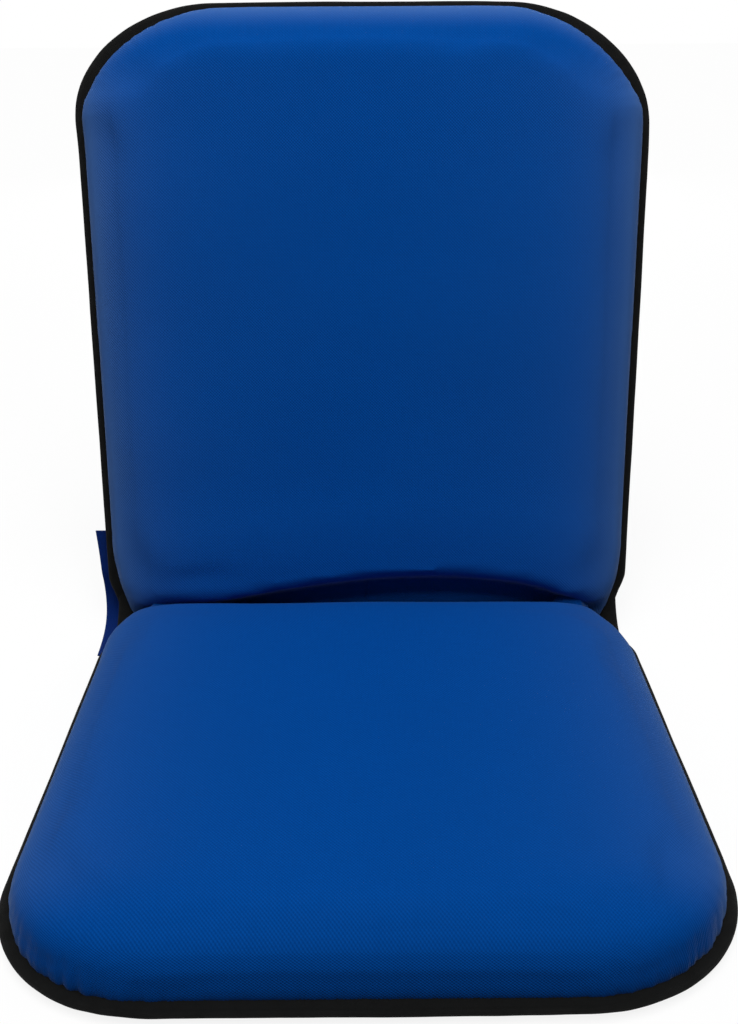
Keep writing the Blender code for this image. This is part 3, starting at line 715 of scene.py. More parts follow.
@dataclass
class Panel:
    """One panel's outline: across (x), away from the fold (a) and towards the sitter (n).

    Attributes:
        lay: which panel.
        length: from the fold to the far end.
        end_width: width where the end corners begin.
        hinge_width: width where the waist has opened.
        waist_width: width at the fold.
        waist_length: distance over which the waist opens.
        corner_across: the end corners' radius across.
        corner_along: the end corners' radius along.
        left_slip: shift of the left end corner, out and away from the fold.
        right_slip: the same at the right.
    """

    lay: Lay
    length: float
    end_width: float
    hinge_width: float = 0.508
    waist_width: float = 0.483
    waist_length: float = 0.080
    corner_across: float = 0.128
    corner_along: float = 0.105
    left_slip: tuple[float, float] = (0.0, 0.0)
    right_slip: tuple[float, float] = (0.0, 0.0)

    @property
    def corner(self) -> float:
        """How far from the fold the end corners begin."""
        return self.length - self.corner_along

    @property
    def corner_middle(self) -> float:
        """How far from the middle line the end corners begin."""
        return self.end_width / 2 - self.corner_across

    @property
    def right(self) -> float:
        """Which way across the panel the object's right side lies."""
        return -1.0 if self.lay is Lay.SEAT else 1.0

    def matrix(self) -> Matrix:
        """From the panel's own directions to the object's."""
        if self.lay is Lay.SEAT:
            turn = Matrix(((-1, 0, 0), (0, -1, 0), (0, 0, 1)))
        else:
            s, c = math.sin(RECLINE), math.cos(RECLINE)
            turn = Matrix(((1, 0, 0), (0, s, -c), (0, c, s)))
        return Matrix.Translation((0.0, PIVOT_Y, PIVOT_HEIGHT)) @ turn.to_4x4()

    def half_width(self, a: np.ndarray) -> np.ndarray:
        """Half the width at a distance from the fold, without the end corners."""
        opening = (self.hinge_width - self.waist_width) / 2
        waist = self.waist_width / 2 + ease(a, 0.0, self.waist_length) * opening
        share = np.clip((a - self.waist_length) / (self.corner - self.waist_length), 0.0, 1.0)
        straight = self.hinge_width / 2 + share * (self.end_width - self.hinge_width) / 2
        return np.where(a < self.waist_length, waist, straight)

    def rows(self, start: float, inset: float, round_off: float) -> tuple[np.ndarray, np.ndarray]:
        """Half widths and distances of the outline's rows.

        Args:
            start: distance from the fold of the first row.
            inset: how far inside the outline.
            round_off: radius of the corners at the fold.

        Returns:
            Half widths, and distances from the fold.
        """
        turn = np.linspace(0.0, math.pi / 2, 9)[:-1]
        first = start + round_off * (1 - np.cos(turn))
        side = np.linspace(start + round_off, self.corner, 60)
        rounded = self.half_width(first) - inset - round_off * (1 - np.sin(turn))
        widths = [rounded, self.half_width(side) - inset]
        bend = np.linspace(0.0, math.pi / 2, 33)[1:]
        facing = np.array([np.cos(bend) / self.corner_across, np.sin(bend) / self.corner_along])
        facing /= np.linalg.norm(facing, axis=0)
        widths.append(self.corner_middle + self.corner_across * np.cos(bend) - inset * facing[0])
        last = self.corner + self.corner_along * np.sin(bend) - inset * facing[1]
        return np.concatenate(widths), np.concatenate([first, side, last])

    def inside(self, x: np.ndarray, a: np.ndarray) -> np.ndarray:
        """How far places lie inside the outline, apart from its edge at the fold.

        Args:
            x: places across.
            a: places away from the fold.

        Returns:
            The distance at each place.
        """
        straight = np.minimum(self.half_width(a) - np.abs(x), self.length - a)
        across, along = np.abs(x) - self.corner_middle, a - self.corner
        in_corner = (across > 0) & (along > 0)
        across, along = np.maximum(across, 1e-6), np.maximum(along, 1e-6)
        wide, deep = self.corner_across, self.corner_along
        turn = np.arctan2(along * wide, across * deep)
        for _ in range(4):
            s, c = np.sin(turn), np.cos(turn)
            pull = (deep**2 - wide**2) * s * c + wide * across * s - deep * along * c
            rate = (deep**2 - wide**2) * (c * c - s * s) + wide * across * c + deep * along * s
            turn = np.clip(turn - pull / np.maximum(rate, 1e-4), 0.0, math.pi / 2)
        gap = np.hypot(wide * np.cos(turn) - across, deep * np.sin(turn) - along)
        outside = np.hypot(across / wide, along / deep) > 1
        return np.where(in_corner, np.where(outside, -gap, gap), straight)

    def edge(self, start: float, step: float) -> tuple[np.ndarray, np.ndarray, np.ndarray]:
        """The outline from one side of the fold round to the other.

        Args:
            start: distance from the fold of both ends.
            step: distance between points.

        Returns:
            The points, their outward directions and their places along the outline.
        """
        widths, along = self.rows(start, 0.0, 0.0)
        right = np.column_stack([widths, along])[8:]
        path = np.concatenate([right * (-1, 1), right[::-1]])
        run = run_along(path)
        places = np.linspace(0.0, run[-1], int(run[-1] / step) + 1)
        points = np.column_stack([np.interp(places, run, path[:, i]) for i in range(2)])
        ahead = np.gradient(points, axis=0)
        ahead /= np.linalg.norm(ahead, axis=1)[:, None]
        return points, np.column_stack([-ahead[:, 1], ahead[:, 0]]), places

    def settle(self, points: np.ndarray) -> np.ndarray:
        """Shifts the two end corners a little, as the sewn cover lies uneven.

        Args:
            points: places on the panel.

        Returns:
            The shifted places.
        """
        moved = points.copy()
        right = self.right
        far = ease(points[:, 1], self.corner - 0.03, self.length - 0.03)
        for side, slip in ((-right, self.left_slip), (right, self.right_slip)):
            share = far * ease(points[:, 0] * side, self.corner_middle - 0.04, self.end_width / 2 - 0.03)
            moved[:, 0] += side * slip[0] * share
            moved[:, 1] += slip[1] * share
        return moved

    def corner_share(self, x: np.ndarray, a: np.ndarray) -> np.ndarray:
        """How much a place is in an end corner, from 0 to 1."""
        middle = self.corner_middle
        return ease(a, self.corner - 0.03, self.corner + 0.03) * ease(np.abs(x), middle - 0.03, middle + 0.03)


@dataclass
class Cushion:
    """A padded panel in its cover, crowned on the sitter's side and flat underneath.

    Attributes:
        panel: the outline it fills.
        replaced: the solids it stands for.
        plateau: height of the crowned side at its edges.
        rise: how much higher its middle line stands.
        roll: width of the rounded shoulder along the sides.
        wall: height at which that shoulder begins.
        end_roll: the shoulder's width at the far end.
        end_wall: the shoulder's beginning at the far end.
        seam: height of the seam.
        foot: height of the flat underside.
        start: distance from the fold at which the pad begins.
        tuck: shift of the waist corners towards the fold.
        inset: how far inside the outline the plain side stands.
        slope: steepness of the end at the fold.
        undercut: steepness of that end where it stands back.
        lip: rounding between that end and the crowned side.
        belly: extra height near the fold.
        arch: places across, and how far that end stands back there.
        bulge: how far the sides stand out over the seam.
        end_bulge: the same at the far end.
        end_reach: how far the whole far end stands out.
        end_focus: how closely the far end's two values keep to its middle.
        corner_draw: how far the end corners are drawn in.
        left_nip: how far the left waist corner is drawn in.
        right_nip: the same at the right.
        underside: how far the underside is drawn in.
        end_painted_sheen: strength of the painted sheen on the far edge.
        painted_sheen: strength and reach of each band of painted sheen along the sides.
        voxel: size of the pad's first mesh.
        swell: most that the stuffing may move the cover.
        pucker: depth of the puckers at the seam.
        keep: not used.
        piece: the pad, once it is made.
    """

    panel: Panel
    replaced: list[str]
    plateau: float = 0.0205
    rise: float = 0.004
    roll: float = 0.058
    wall: float = -0.010
    end_roll: float = 0.058
    end_wall: float = -0.010
    seam: float = -0.0265
    foot: float = -0.0355
    start: float = 0.0012
    tuck: float = 0.006
    inset: float = 0.0125
    slope: float = 1.40
    undercut: float = 3.5
    lip: float = 0.006
    belly: float = 0.0
    arch: tuple[tuple[float, float], ...] = ((-0.25, 0.0), (0.25, 0.0))
    bulge: float = 0.0068
    end_bulge: float = 0.0035
    end_reach: float = 0.0040
    end_focus: float = 0.0
    corner_draw: float = 0.0
    left_nip: float = 0.0
    right_nip: float = 0.0
    underside: float = 0.016
    end_painted_sheen: float = 0.0
    painted_sheen: tuple[tuple[float, float], ...] = ((0.62, 0.010), (0.46, 0.048))
    voxel: float = 0.0052
    swell: float = 0.004
    pucker: float = 0.0013
    keep: float = 0.60
    piece: bpy.types.Object = field(init=False)

    def name(self) -> str:
        """The piece's name."""
        return f"{self.panel.lay.value}_cushion"

    def height(self, x: np.ndarray, a: np.ndarray) -> np.ndarray:
        """How far the crowned side stands towards the sitter.

        Args:
            x: places across.
            a: places away from the fold.

        Returns:
            The height at each place.
        """
        panel = self.panel
        end = ease(a, panel.corner, panel.length - 0.03)
        roll = self.roll + (self.end_roll - self.roll) * end
        wall = self.wall + (self.end_wall - self.wall) * end
        share = np.clip((panel.inside(x, a) - self.inset) / roll, 0.0, 1.0)
        crown = self.plateau + self.rise * (1 - (x / panel.half_width(a)) ** 2)
        crown += self.belly * (1 - ease(a, 0.030, 0.130))
        top = wall + (crown - wall) * np.sqrt(np.clip(1 - (1 - share) ** 2, 0.0, 1.0))
        lean = (a - self.start) * self.slope
        lean = np.minimum(lean, (a - self.start - self.hollow(x)) * self.undercut)
        near = np.maximum(self.lip - np.abs(top - lean), 0.0) / self.lip
        return np.maximum(np.minimum(top, lean) - near * near * self.lip / 4, wall)

    def hollow(self, x: np.ndarray) -> np.ndarray:
        """How far the pad's end stands back from the fold, across its width.

        Args:
            x: places across.

        Returns:
            The distance at each place, smoothed.
        """
        knots = np.array(self.arch)
        spots = np.linspace(-0.27, 0.27, 271)
        plain = np.interp(spots, knots[:, 0], knots[:, 1])
        window = np.hanning(51)
        soft = np.convolve(np.pad(plain, 25, mode="edge"), window / window.sum(), mode="valid")
        return np.interp(x, spots, soft)

    def shape(self) -> None:
        """Makes the plain pad: a grid bent to the crowned side and extruded down to the flat one."""
        self.piece = Bench.grid(self.name(), 96, 96)
        points = Bench.points(self.piece)
        widths, along = self.panel.rows(self.start, self.inset, 0.004)
        run = np.concatenate([[0.0], np.cumsum(np.hypot(np.diff(widths), np.diff(along)))])
        share = (points[:, 1] + 1) / 2 * run[-1]
        a = np.interp(share, run, along)
        x = points[:, 0] * np.interp(share, run, widths)
        a = a - self.tuck * ease(np.abs(x), *TUCK_ACROSS) * (1 - ease(a, *TUCK_ALONG))
        Bench.place(self.piece, np.column_stack([x, a, self.height(x, a)]))
        Bench.pick(self.piece)
        bpy.ops.object.mode_set(mode="EDIT")
        bpy.ops.mesh.select_all(action="SELECT")
        bpy.ops.mesh.extrude_region_move(TRANSFORM_OT_translate={"value": (0.0, 0.0, -0.01)})
        bpy.ops.object.mode_set(mode="OBJECT")
        lowered = np.array([vertex.select for vertex in self.piece.data.vertices])
        points = Bench.points(self.piece)
        points[lowered, 2] = self.foot
        Bench.place(self.piece, points)
        Bench.close(self.piece)
        Bench.modify(self.piece, "REMESH", mode="VOXEL", voxel_size=self.voxel)

    def locate(self, points: np.ndarray) -> tuple[np.ndarray, np.ndarray, np.ndarray]:
        """Where corners lie against the outline.

        Args:
            points: the corners.

        Returns:
            Distances inside the outline, outward directions, and places along it.
        """
        outline, outward, places = self.panel.edge(0.0, 0.0015)
        tree = KDTree(len(outline))
        for i, (x, a) in enumerate(outline):
            tree.insert((x, a, 0.0), i)
        tree.balance()
        nearest = np.array([tree.find((x, a, 0.0))[1] for x, a in points[:, :2]])
        depth = -np.sum((points[:, :2] - outline[nearest]) * outward[nearest], axis=1)
        return depth, outward[nearest], places[nearest]

    def swell_sides(self) -> None:
        """Lets the side stand out over the seam and draws the underside in."""
        points = Bench.points(self.piece)
        depth, outward, _ = self.locate(points)
        near = 1 - ease(depth, self.inset + 0.004, self.inset + 0.040)
        rise = np.clip((points[:, 2] - self.seam) / (self.plateau - self.seam), 0.0, 1.0)
        end = ease(points[:, 1], self.panel.corner - 0.01, self.panel.corner + 0.06)
        end = end * np.maximum(outward[:, 1], 0.0) ** self.end_focus
        side = self.bulge * ease(points[:, 1], -0.020, 0.060)
        push = (side * (1 - end) + self.end_bulge * end) * np.sin(math.pi * rise ** 0.8)
        push = push + self.end_reach * end
        below = np.clip((self.seam - points[:, 2]) / (self.seam - self.foot), 0.0, 1.0)
        push -= self.underside * below ** 1.5
        slant = 2 * np.abs(outward[:, 0]) * np.maximum(outward[:, 1], 0.0)
        push -= self.corner_draw * slant * ease(points[:, 1], self.panel.corner, self.panel.corner + 0.03)
        points[:, :2] += outward * (push * near)[:, None]
        right = self.panel.right
        near_fold = 1 - ease(points[:, 1], *NIP_ALONG)
        for side, nip in ((-right, self.left_nip), (right, self.right_nip)):
            points[:, 0] -= side * nip * near_fold * ease(points[:, 0] * side, *NIP_ACROSS)
        Bench.place(self.piece, points)

    def stuff(self) -> None:
        """Fills the cover by a short cloth simulation with its seam held."""
        piece = self.piece
        before = Bench.points(piece)
        held = piece.vertex_groups.new(name="seam")
        held.add([int(i) for i in np.nonzero(before[:, 2] < self.seam + 0.004)[0]], 1.0, "REPLACE")
        Bench.pick(piece)
        modifier = piece.modifiers.new("stuffing", "CLOTH")
        cloth = modifier.settings
        cloth.quality = 5
        cloth.mass = 0.3
        cloth.tension_stiffness = 12.0
        cloth.compression_stiffness = 12.0
        cloth.shear_stiffness = 4.0
        cloth.bending_stiffness = 1.0
        cloth.use_pressure = True
        cloth.uniform_pressure_force = STUFFING_PRESSURE
        cloth.vertex_group_mass = "seam"
        cloth.effector_weights.gravity = 0.0
        modifier.collision_settings.use_collision = False
        modifier.point_cache.frame_start = 1
        modifier.point_cache.frame_end = STUFFING_STEPS
        for step in range(1, STUFFING_STEPS + 1):
            bpy.context.scene.frame_set(step)
        bpy.ops.object.modifier_apply(modifier=modifier.name)
        moved = Bench.calm(piece, Bench.points(piece) - before, STUFFING_ROUNDS) * STUFFING_SHARE
        length = np.linalg.norm(moved, axis=1)
        limit = np.minimum(1.0, self.swell / np.maximum(length, 1e-9))
        away = before[:, 1] - self.start - self.hollow(before[:, 0])
        calm = ease(away, 0.0, STUFFING_REACH)
        Bench.place(piece, before + moved * (limit * calm)[:, None])
        bpy.context.scene.frame_set(1)
        piece.vertex_groups.clear()

    def gather(self) -> None:
        """Draws the cloth into small puckers along the seam and loosens its flats."""
        piece = self.piece
        points = Bench.points(piece)
        facing = Bench.normals(piece)
        depth, _, places = self.locate(points)
        corner = self.panel.corner_share(points[:, 0], points[:, 1])
        climb = np.maximum(points[:, 2] - self.seam, 0.0)
        blend_weight = np.exp(-climb / (0.011 + 0.010 * corner)) * (1 - ease(depth, 0.030, 0.060))
        blend_weight = blend_weight * (points[:, 2] > self.seam - 0.003)
        phase = places / PUCKER_SPACING + 1.6 * wander(places, 22.0, 3.0 + self.panel.length)
        fine = places / FINE_PUCKER_SPACING + 1.2 * wander(places, 35.0, 9.0 + self.panel.length)
        folds = 0.65 * np.abs(np.sin(math.pi * phase)) + 0.35 * np.abs(np.sin(math.pi * fine)) - 0.55
        depth_of = self.pucker * (0.45 + 0.35 * wander(places, 6.0, 1.0) + 1.1 * corner)
        push = folds * np.maximum(depth_of, 0.0003) * blend_weight
        seed = 4.0 if self.panel.lay is Lay.SEAT else 11.0
        top = ease(points[:, 2], self.seam + 0.012, self.plateau)
        broad = np.array([noise.noise(Vector((x * 9, a * 9, seed))) for x, a in points[:, :2]])
        small = np.array([noise.noise(Vector((x * 30, a * 22, seed + 3))) for x, a in points[:, :2]])
        push += (broad + 0.12 * small) * FLAT_WANDER * top
        Bench.place(piece, points + facing * push[:, None])

    def dress(self) -> None:
        """Maps the cloth, gives both sides their finishes and sets the piece in its place."""
        piece = self.piece
        points = Bench.points(piece)
        depth, outward, _ = self.locate(points)
        # Painted sheen: a mask that is strongest at the side edges and, where set, at the far edge, where the
        # rolled edges catch the light.
        end = ease(points[:, 1], self.panel.corner + 0.02, self.panel.length - 0.03)
        margin = self.panel.half_width(points[:, 1]) - np.abs(points[:, 0])
        inward = np.maximum(margin - self.inset + 0.003, 0.0)
        sides = np.minimum(sum(share * np.exp(-inward / reach) for share, reach in self.painted_sheen), 1.0)
        edge = (1 - ease(depth, self.inset - 0.004, self.inset + 0.030)) ** 2
        painted_sheen = sides * (1 - end) + self.end_painted_sheen * end * edge
        layer = piece.data.attributes.new("painted_sheen", "FLOAT", "POINT")
        layer.data.foreach_set("value", painted_sheen.astype(np.float32))
        drop = np.maximum(self.plateau - 0.012 - points[:, 2], 0.0)
        Bench.map_cloth(piece, points[:, :2] + outward * drop[:, None])
        piece.data.materials.clear()
        piece.data.materials.append(COVER.material())
        piece.data.materials.append(BASE.material())
        heights = points[:, 2]
        under = [int(max(heights[list(face.vertices)]) < self.seam) for face in piece.data.polygons]
        piece.data.polygons.foreach_set("material_index", np.array(under, np.int32))
        Bench.place(piece, self.panel.settle(points))
        piece.data.transform(self.panel.matrix())
        piece.data.update()
        Bench.smooth(piece)
        body = self.panel.lay.value
        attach(piece, body)
        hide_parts(*self.replaced)
        up = self.panel.matrix().to_3x3() @ Vector((0.0, 0.0, 1.0))
        ground = self.panel.matrix() @ Vector((0.0, 0.0, self.seam))
        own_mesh(piece)

    def make(self) -> bpy.types.Object:
        """Shapes, stuffs, gathers and dresses the cushion.

        Returns:
            The finished piece.
        """
        self.shape()
        self.swell_sides()
        self.stuff()
        Bench.modify(self.piece, "SUBSURF", levels=1, render_levels=1)
        self.gather()
        self.dress()
        return self.piece


@dataclass
class Binding:
    """The folded tape sewn round a panel's edge.

    Attributes:
        panel: the panel it goes round.
        replaced: the solids it stands for.
        start: distance from the fold of both its ends.
        width: how far it reaches in from the outline.
        thickness: over both layers.
        middle: height of its middle.
        ripple: how unevenly it lies.
        step: distance between sections.
        piece: the tape, once it is made.
    """

    panel: Panel
    replaced: list[str]
    start: float = 0.004
    width: float = 0.0200
    thickness: float = 0.0050
    middle: float = -0.0265
    ripple: float = 0.0009
    step: float = 0.0028
    piece: bpy.types.Object = field(init=False)

    def section(self, count: int) -> np.ndarray:
        """The tape's closed cross-section.

        Args:
            count: how many points go round it.

        Returns:
            Distances inside the outline and heights, round the section.
        """
        across, up = tape_ring(count)
        fold = 1.0 - 0.22 * across
        return np.column_stack([self.width / 2 * (1 + across), self.thickness / 2 * up * fold])

    def make(self) -> bpy.types.Object:
        """Sweeps the section round the outline, ripples it and dresses it.

        Returns:
            The finished piece.
        """
        outline, outward, places = self.panel.edge(self.start, self.step)
        section = self.section(20)
        self.piece = Bench.grid(f"{self.panel.lay.value}_edge_tape", len(outline) - 1, len(section) - 1)
        grid = Bench.points(self.piece)
        i = np.rint((grid[:, 0] + 1) / 2 * (len(outline) - 1)).astype(int)
        j = np.rint((grid[:, 1] + 1) / 2 * (len(section) - 1)).astype(int)
        corner = self.panel.corner_share(outline[:, 0], outline[:, 1])
        seed = self.panel.length
        wave = wander(places, 26.0, seed) + 0.6 * wander(places, 70.0, seed + 5)
        lift = self.ripple * (0.5 + corner) * wave
        slip = self.ripple * 0.6 * (wander(places, 18.0, seed + 2) - 0.4)
        reach = section[j, 0] - slip[i]
        flat = outline[i] - outward[i] * reach[:, None]
        outer = 1 - section[j, 0] / self.width
        up = self.middle + section[j, 1] + lift[i] * (0.35 + 0.65 * outer)
        Bench.place(self.piece, self.panel.settle(np.column_stack([flat, up])))
        run = run_along(section)
        Bench.map_cloth(self.piece, np.column_stack([places[i], run[j]]))
        Bench.close(self.piece)
        self.piece.data.transform(self.panel.matrix())
        self.piece.data.materials.append(TAPE.material())
        Bench.smooth(self.piece, 70.0)
        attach(self.piece, self.panel.lay.value)
        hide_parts(*self.replaced)
        return self.piece


@dataclass
class WaistTape:
    """The tape that carries the binding across the fold on one side.

    Attributes:
        name: the piece's name.
        side: -1 at the left, 1 at the right.
        inner: its inner edge, from the middle line.
        outer: its outer edge, from the middle line.
        thickness: over both layers.
        piece: the tape, once it is made.
    """

    name: str
    side: float
    inner: float = 0.2270
    outer: float = 0.2445
    thickness: float = 0.0046
    piece: bpy.types.Object = field(init=False)

    def path(self, count: int) -> np.ndarray:
        """The tape's centre line, from the seat's binding to the back's.

        Args:
            count: how many stretches.

        Returns:
            Y and Z of each point.
        """
        turns = ((Lay.SEAT, 0.012, -0.0265), (Lay.SEAT, -0.006, -0.0255),
                 (Lay.BACK, -0.004, -0.0225), (Lay.BACK, 0.014, -0.0265))
        knots = [np.array(fold_point(*turn)) for turn in turns]
        t = np.linspace(0.0, 1.0, count + 1)[:, None]
        u = 1 - t
        return knots[0] * u ** 3 + knots[1] * 3 * u * u * t + knots[2] * 3 * u * t * t + knots[3] * t ** 3

    def make(self) -> bpy.types.Object:
        """Sweeps the tape along its path and dresses it.

        Returns:
            The finished piece.
        """
        path = self.path(36)
        ahead = np.gradient(path, axis=0)
        ahead /= np.linalg.norm(ahead, axis=1)[:, None]
        up = np.column_stack([-ahead[:, 1], ahead[:, 0]])
        across, round_up = tape_ring(16)
        lift = round_up * self.thickness / 2
        self.piece = Bench.grid(self.name, len(path) - 1, len(across) - 1)
        grid = Bench.points(self.piece)
        i = np.rint((grid[:, 0] + 1) / 2 * (len(path) - 1)).astype(int)
        j = np.rint((grid[:, 1] + 1) / 2 * (len(across) - 1)).astype(int)
        x = self.side * ((self.inner + self.outer) / 2 + (self.outer - self.inner) / 2 * across[j])
        place = path[i] + up[i] * lift[j][:, None]
        Bench.place(self.piece, np.column_stack([x, place]))
        Bench.map_cloth(self.piece, np.column_stack([i * 0.0012, j * 0.0022]))
        Bench.close(self.piece)
        self.piece.data.materials.append(TAPE.material())
        Bench.smooth(self.piece, 70.0)
        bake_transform(self.piece)
        return self.piece


@dataclass
class FoldCloth:
    """A thin cloth across the fold, given by its cross-section from the seat to the back.

    Attributes:
        name: the piece's name.
        replaced: the solid it stands for.
        finish: the cloth.
        section: Y and Z of the points along it.
        left: its left edge.
        right: its right edge.
        start: not used.
        end: not used.
        flare: how far the upper left corner stands out.
        sink: how far it is drawn to the fold's axis, except over the hinges.
        thickness: of the cloth.
        columns: faces across.
        rows: faces along the section.
        piece: the cloth, once it is made.
    """

    name: str
    replaced: str
    finish: ClothFinish
    section: list[tuple[float, float]]
    left: float
    right: float
    start: tuple[float, float, float]
    end: tuple[float, float, float]
    flare: float = 0.0
    sink: float = 0.0
    thickness: float = 0.0012
    columns: int = 90
    rows: int = 36
    piece: bpy.types.Object = field(init=False)

    def make(self) -> bpy.types.Object:
        """Bends a grid along the section and dresses it.

        Returns:
            The finished piece.
        """
        self.piece = Bench.grid(self.name, self.columns, self.rows)
        grid = Bench.points(self.piece)
        knots = np.array(self.section)
        run = run_along(knots)
        share = (grid[:, 1] + 1) / 2
        along = share * run[-1]
        y = np.interp(along, run, knots[:, 0])
        z = np.interp(along, run, knots[:, 1])
        span = self.right - self.left
        x = self.left + (grid[:, 0] + 1) / 2 * span
        side = 1 - ease(x, self.left, self.left + 0.09)
        x = x - self.flare * side * share**2
        sunk = self.sink * (1 - ease(np.abs(x), *HINGE_RISE) + ease(np.abs(x), *HINGE_DIP))
        y = y + (PIVOT_Y - y) * sunk
        z = z + (PIVOT_HEIGHT - z) * sunk
        y = y + 0.25 * self.flare * side * ease(share, 0.5, 1.0)
        sag = np.sin(math.pi * share)
        wave = np.array([noise.noise(Vector((u * 11, v * 3, 21.0))) for u, v in zip(x, share)])
        y = y + 0.0022 * sag * wave
        Bench.place(self.piece, np.column_stack([x, y, z]))
        Bench.map_cloth(self.piece, np.column_stack([x, along]))
        Bench.face_out(self.piece)
        Bench.modify(self.piece, "SOLIDIFY", thickness=self.thickness, offset=0.0)
        self.piece.data.materials.append(self.finish.material())
        Bench.smooth(self.piece, 60.0)
        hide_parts(self.replaced)
        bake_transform(self.piece)
        return self.piece


@dataclass
class Hardware:
    """The steel frames, hinges and webbing, dressed in their finishes."""

    def dress(self) -> None:
        """Gives each steel and webbing piece its finish."""
        slots = {row["node"]: row["material_slot"] for row in frame["record"]["subparts"]}
        finishes = {"frame_steel": POWDER, "hinge_steel": ZINC, "webbing": WEBBING}
        for node, piece in frame["nodes"].items():
            finish = finishes.get(slots[node])
            if finish is None:
                continue
            piece.data.materials.clear()
            piece.data.materials.append(finish.material())
            if finish is WEBBING:
                Bench.map_cloth(piece, Bench.points(piece)[:, :2])


@dataclass
class Studio:
    """A pale floor, soft lights and the camera.

    Attributes:
        camera_at: where the camera stands.
        yaw: the camera's turn.
        pitch: how far it looks down.
        roll: its tilt.
        focal: its focal length in pixels of the picture.
        frame_height: the picture's height in pixels.
        bounce: the floor's colour for scattered light.
        pale: the floor's colour for the camera.
        glow_near: share of plain white in the middle of the floor.
        glow_rise: how much that share grows in a metre.
        glow_reach: distance at which it stops growing.
        room_light: strength of the light from all round.
    """

    camera_at: tuple[float, float, float] = (0.001, PIVOT_Y - 0.8387, 0.5989)
    yaw: float = -0.0015
    pitch: float = 0.4974
    roll: float = -0.0069
    focal: float = 1044.0
    frame_height: float = 1024.0
    bounce: tuple[float, float, float, float] = (0.16, 0.16, 0.16, 1.0)
    pale: tuple[float, float, float, float] = (0.92, 0.92, 0.92, 1.0)
    glow_near: float = 0.85
    glow_rise: float = 0.066
    glow_reach: float = 2.0
    room_light: float = 0.13

    def seen(self, graph: Graph) -> bpy.types.NodeSocket:
        """A mask of the rays that look at the background, straight or in a shine.

        Args:
            graph: the tree that needs the mask.

        Returns:
            The mask's socket.
        """
        rays = graph.add("ShaderNodeLightPath")
        shine = graph.math("MAXIMUM", rays.outputs["Is Glossy Ray"], rays.outputs["Is Transmission Ray"])
        return graph.math("MAXIMUM", rays.outputs["Is Camera Ray"], shine)

    def floor(self) -> None:
        """Lays the floor, white to the camera but for the shadow on it."""
        Bench.clear()
        bpy.ops.mesh.primitive_plane_add(size=14.0, location=(0.0, 0.0, -0.0006))
        floor = bpy.context.object
        floor.name = "studio_floor"
        bpy.ops.object.transform_apply(location=True, rotation=True, scale=True)
        material = bpy.data.materials.new("pale_floor")
        material.use_nodes = True
        graph = Graph(material.node_tree)
        shader = material.node_tree.nodes["Principled BSDF"]
        mask = self.seen(graph)
        graph.feed(shader.inputs["Base Color"], graph.mix(mask, self.bounce, self.pale))
        shader.inputs["Roughness"].default_value = 0.9
        shader.inputs["Specular IOR Level"].default_value = 0.0
        glow = graph.add("ShaderNodeEmission")
        glow.inputs["Color"].default_value = WHITE
        glow.inputs["Strength"].default_value = 1.0
        blend = graph.add("ShaderNodeMixShader")
        place = graph.add("ShaderNodeTexCoord").outputs["Object"]
        reach = graph.add("ShaderNodeVectorMath")
        reach.operation = "LENGTH"
        graph.feed(reach.inputs[0], place)
        near = graph.math("MINIMUM", reach.outputs["Value"], self.glow_reach)
        far = graph.math("MULTIPLY_ADD", near, self.glow_rise, self.glow_near)
        graph.feed(blend.inputs[0], graph.math("MULTIPLY", mask, far))
        graph.feed(blend.inputs[1], shader.outputs[0])
        graph.feed(blend.inputs[2], glow.outputs[0])
        graph.feed(material.node_tree.nodes["Material Output"].inputs["Surface"], blend.outputs[0])
        floor.data.materials.append(material)

    def lamp(
        self, name: str, place: tuple[float, float, float], aim: tuple[float, float, float],
        size: float, power: float,
    ) -> None:
        """Hangs one soft box.

        Args:
            name: the lamp's name.
            place: where it hangs.
            aim: where it points.
            size: the side of its square.
            power: its power in watts.
        """
        Bench.clear()
        bpy.ops.object.light_add(type="AREA", location=place)
        lamp = bpy.context.object
        lamp.name = name
        lamp.data.shape = "SQUARE"
        lamp.data.size = size
        lamp.data.energy = power
        lamp.rotation_euler = (Vector(aim) - Vector(place)).to_track_quat("-Z", "Y").to_euler()

    def light(self) -> None:
        """Sets the room's light and the soft boxes."""
        world = bpy.data.worlds.new("studio")
        world.use_nodes = True
        bpy.context.scene.world = world
        graph = Graph(world.node_tree)
        room = world.node_tree.nodes["Background"]
        room.inputs["Color"].default_value = WHITE
        room.inputs["Strength"].default_value = self.room_light
        wall = graph.add("ShaderNodeBackground")
        wall.inputs["Color"].default_value = WHITE
        wall.inputs["Strength"].default_value = 1.0
        blend = graph.add("ShaderNodeMixShader")
        graph.feed(blend.inputs[0], self.seen(graph))
        graph.feed(blend.inputs[1], room.outputs[0])
        graph.feed(blend.inputs[2], wall.outputs[0])
        graph.feed(world.node_tree.nodes["World Output"].inputs["Surface"], blend.outputs[0])
        self.lamp("overhead_box", (0.0, -0.55, 2.3), (0.0, 0.0, 0.1), 1.6, 58.0)
        self.lamp("rear_box", (0.0, 2.3, 0.75), (0.0, 0.2, 0.2), 1.5, 26.0)

    def camera(self) -> None:
        """Stands the camera where the picture was taken."""
        Bench.clear()
        bpy.ops.object.camera_add()
        camera = bpy.context.object
        camera.name = "picture_camera"
        camera.data.sensor_fit = "VERTICAL"
        camera.data.sensor_height = 36.0
        camera.data.lens = 36.0 * self.focal / self.frame_height
        camera.data.clip_start = 0.01
        yaw = Matrix.Rotation(self.yaw, 4, "Z")
        pitch = Matrix.Rotation(math.pi / 2 - self.pitch, 4, "X")
        roll = Matrix.Rotation(self.roll, 4, "Z")
        camera.matrix_world = Matrix.Translation(self.camera_at) @ (yaw @ pitch @ roll)
        bpy.context.scene.camera = camera

    def make(self) -> None:
        """Sets the whole studio."""
        bpy.context.scene.view_settings.view_transform = "Standard"
        self.floor()
        self.light()
        self.camera()


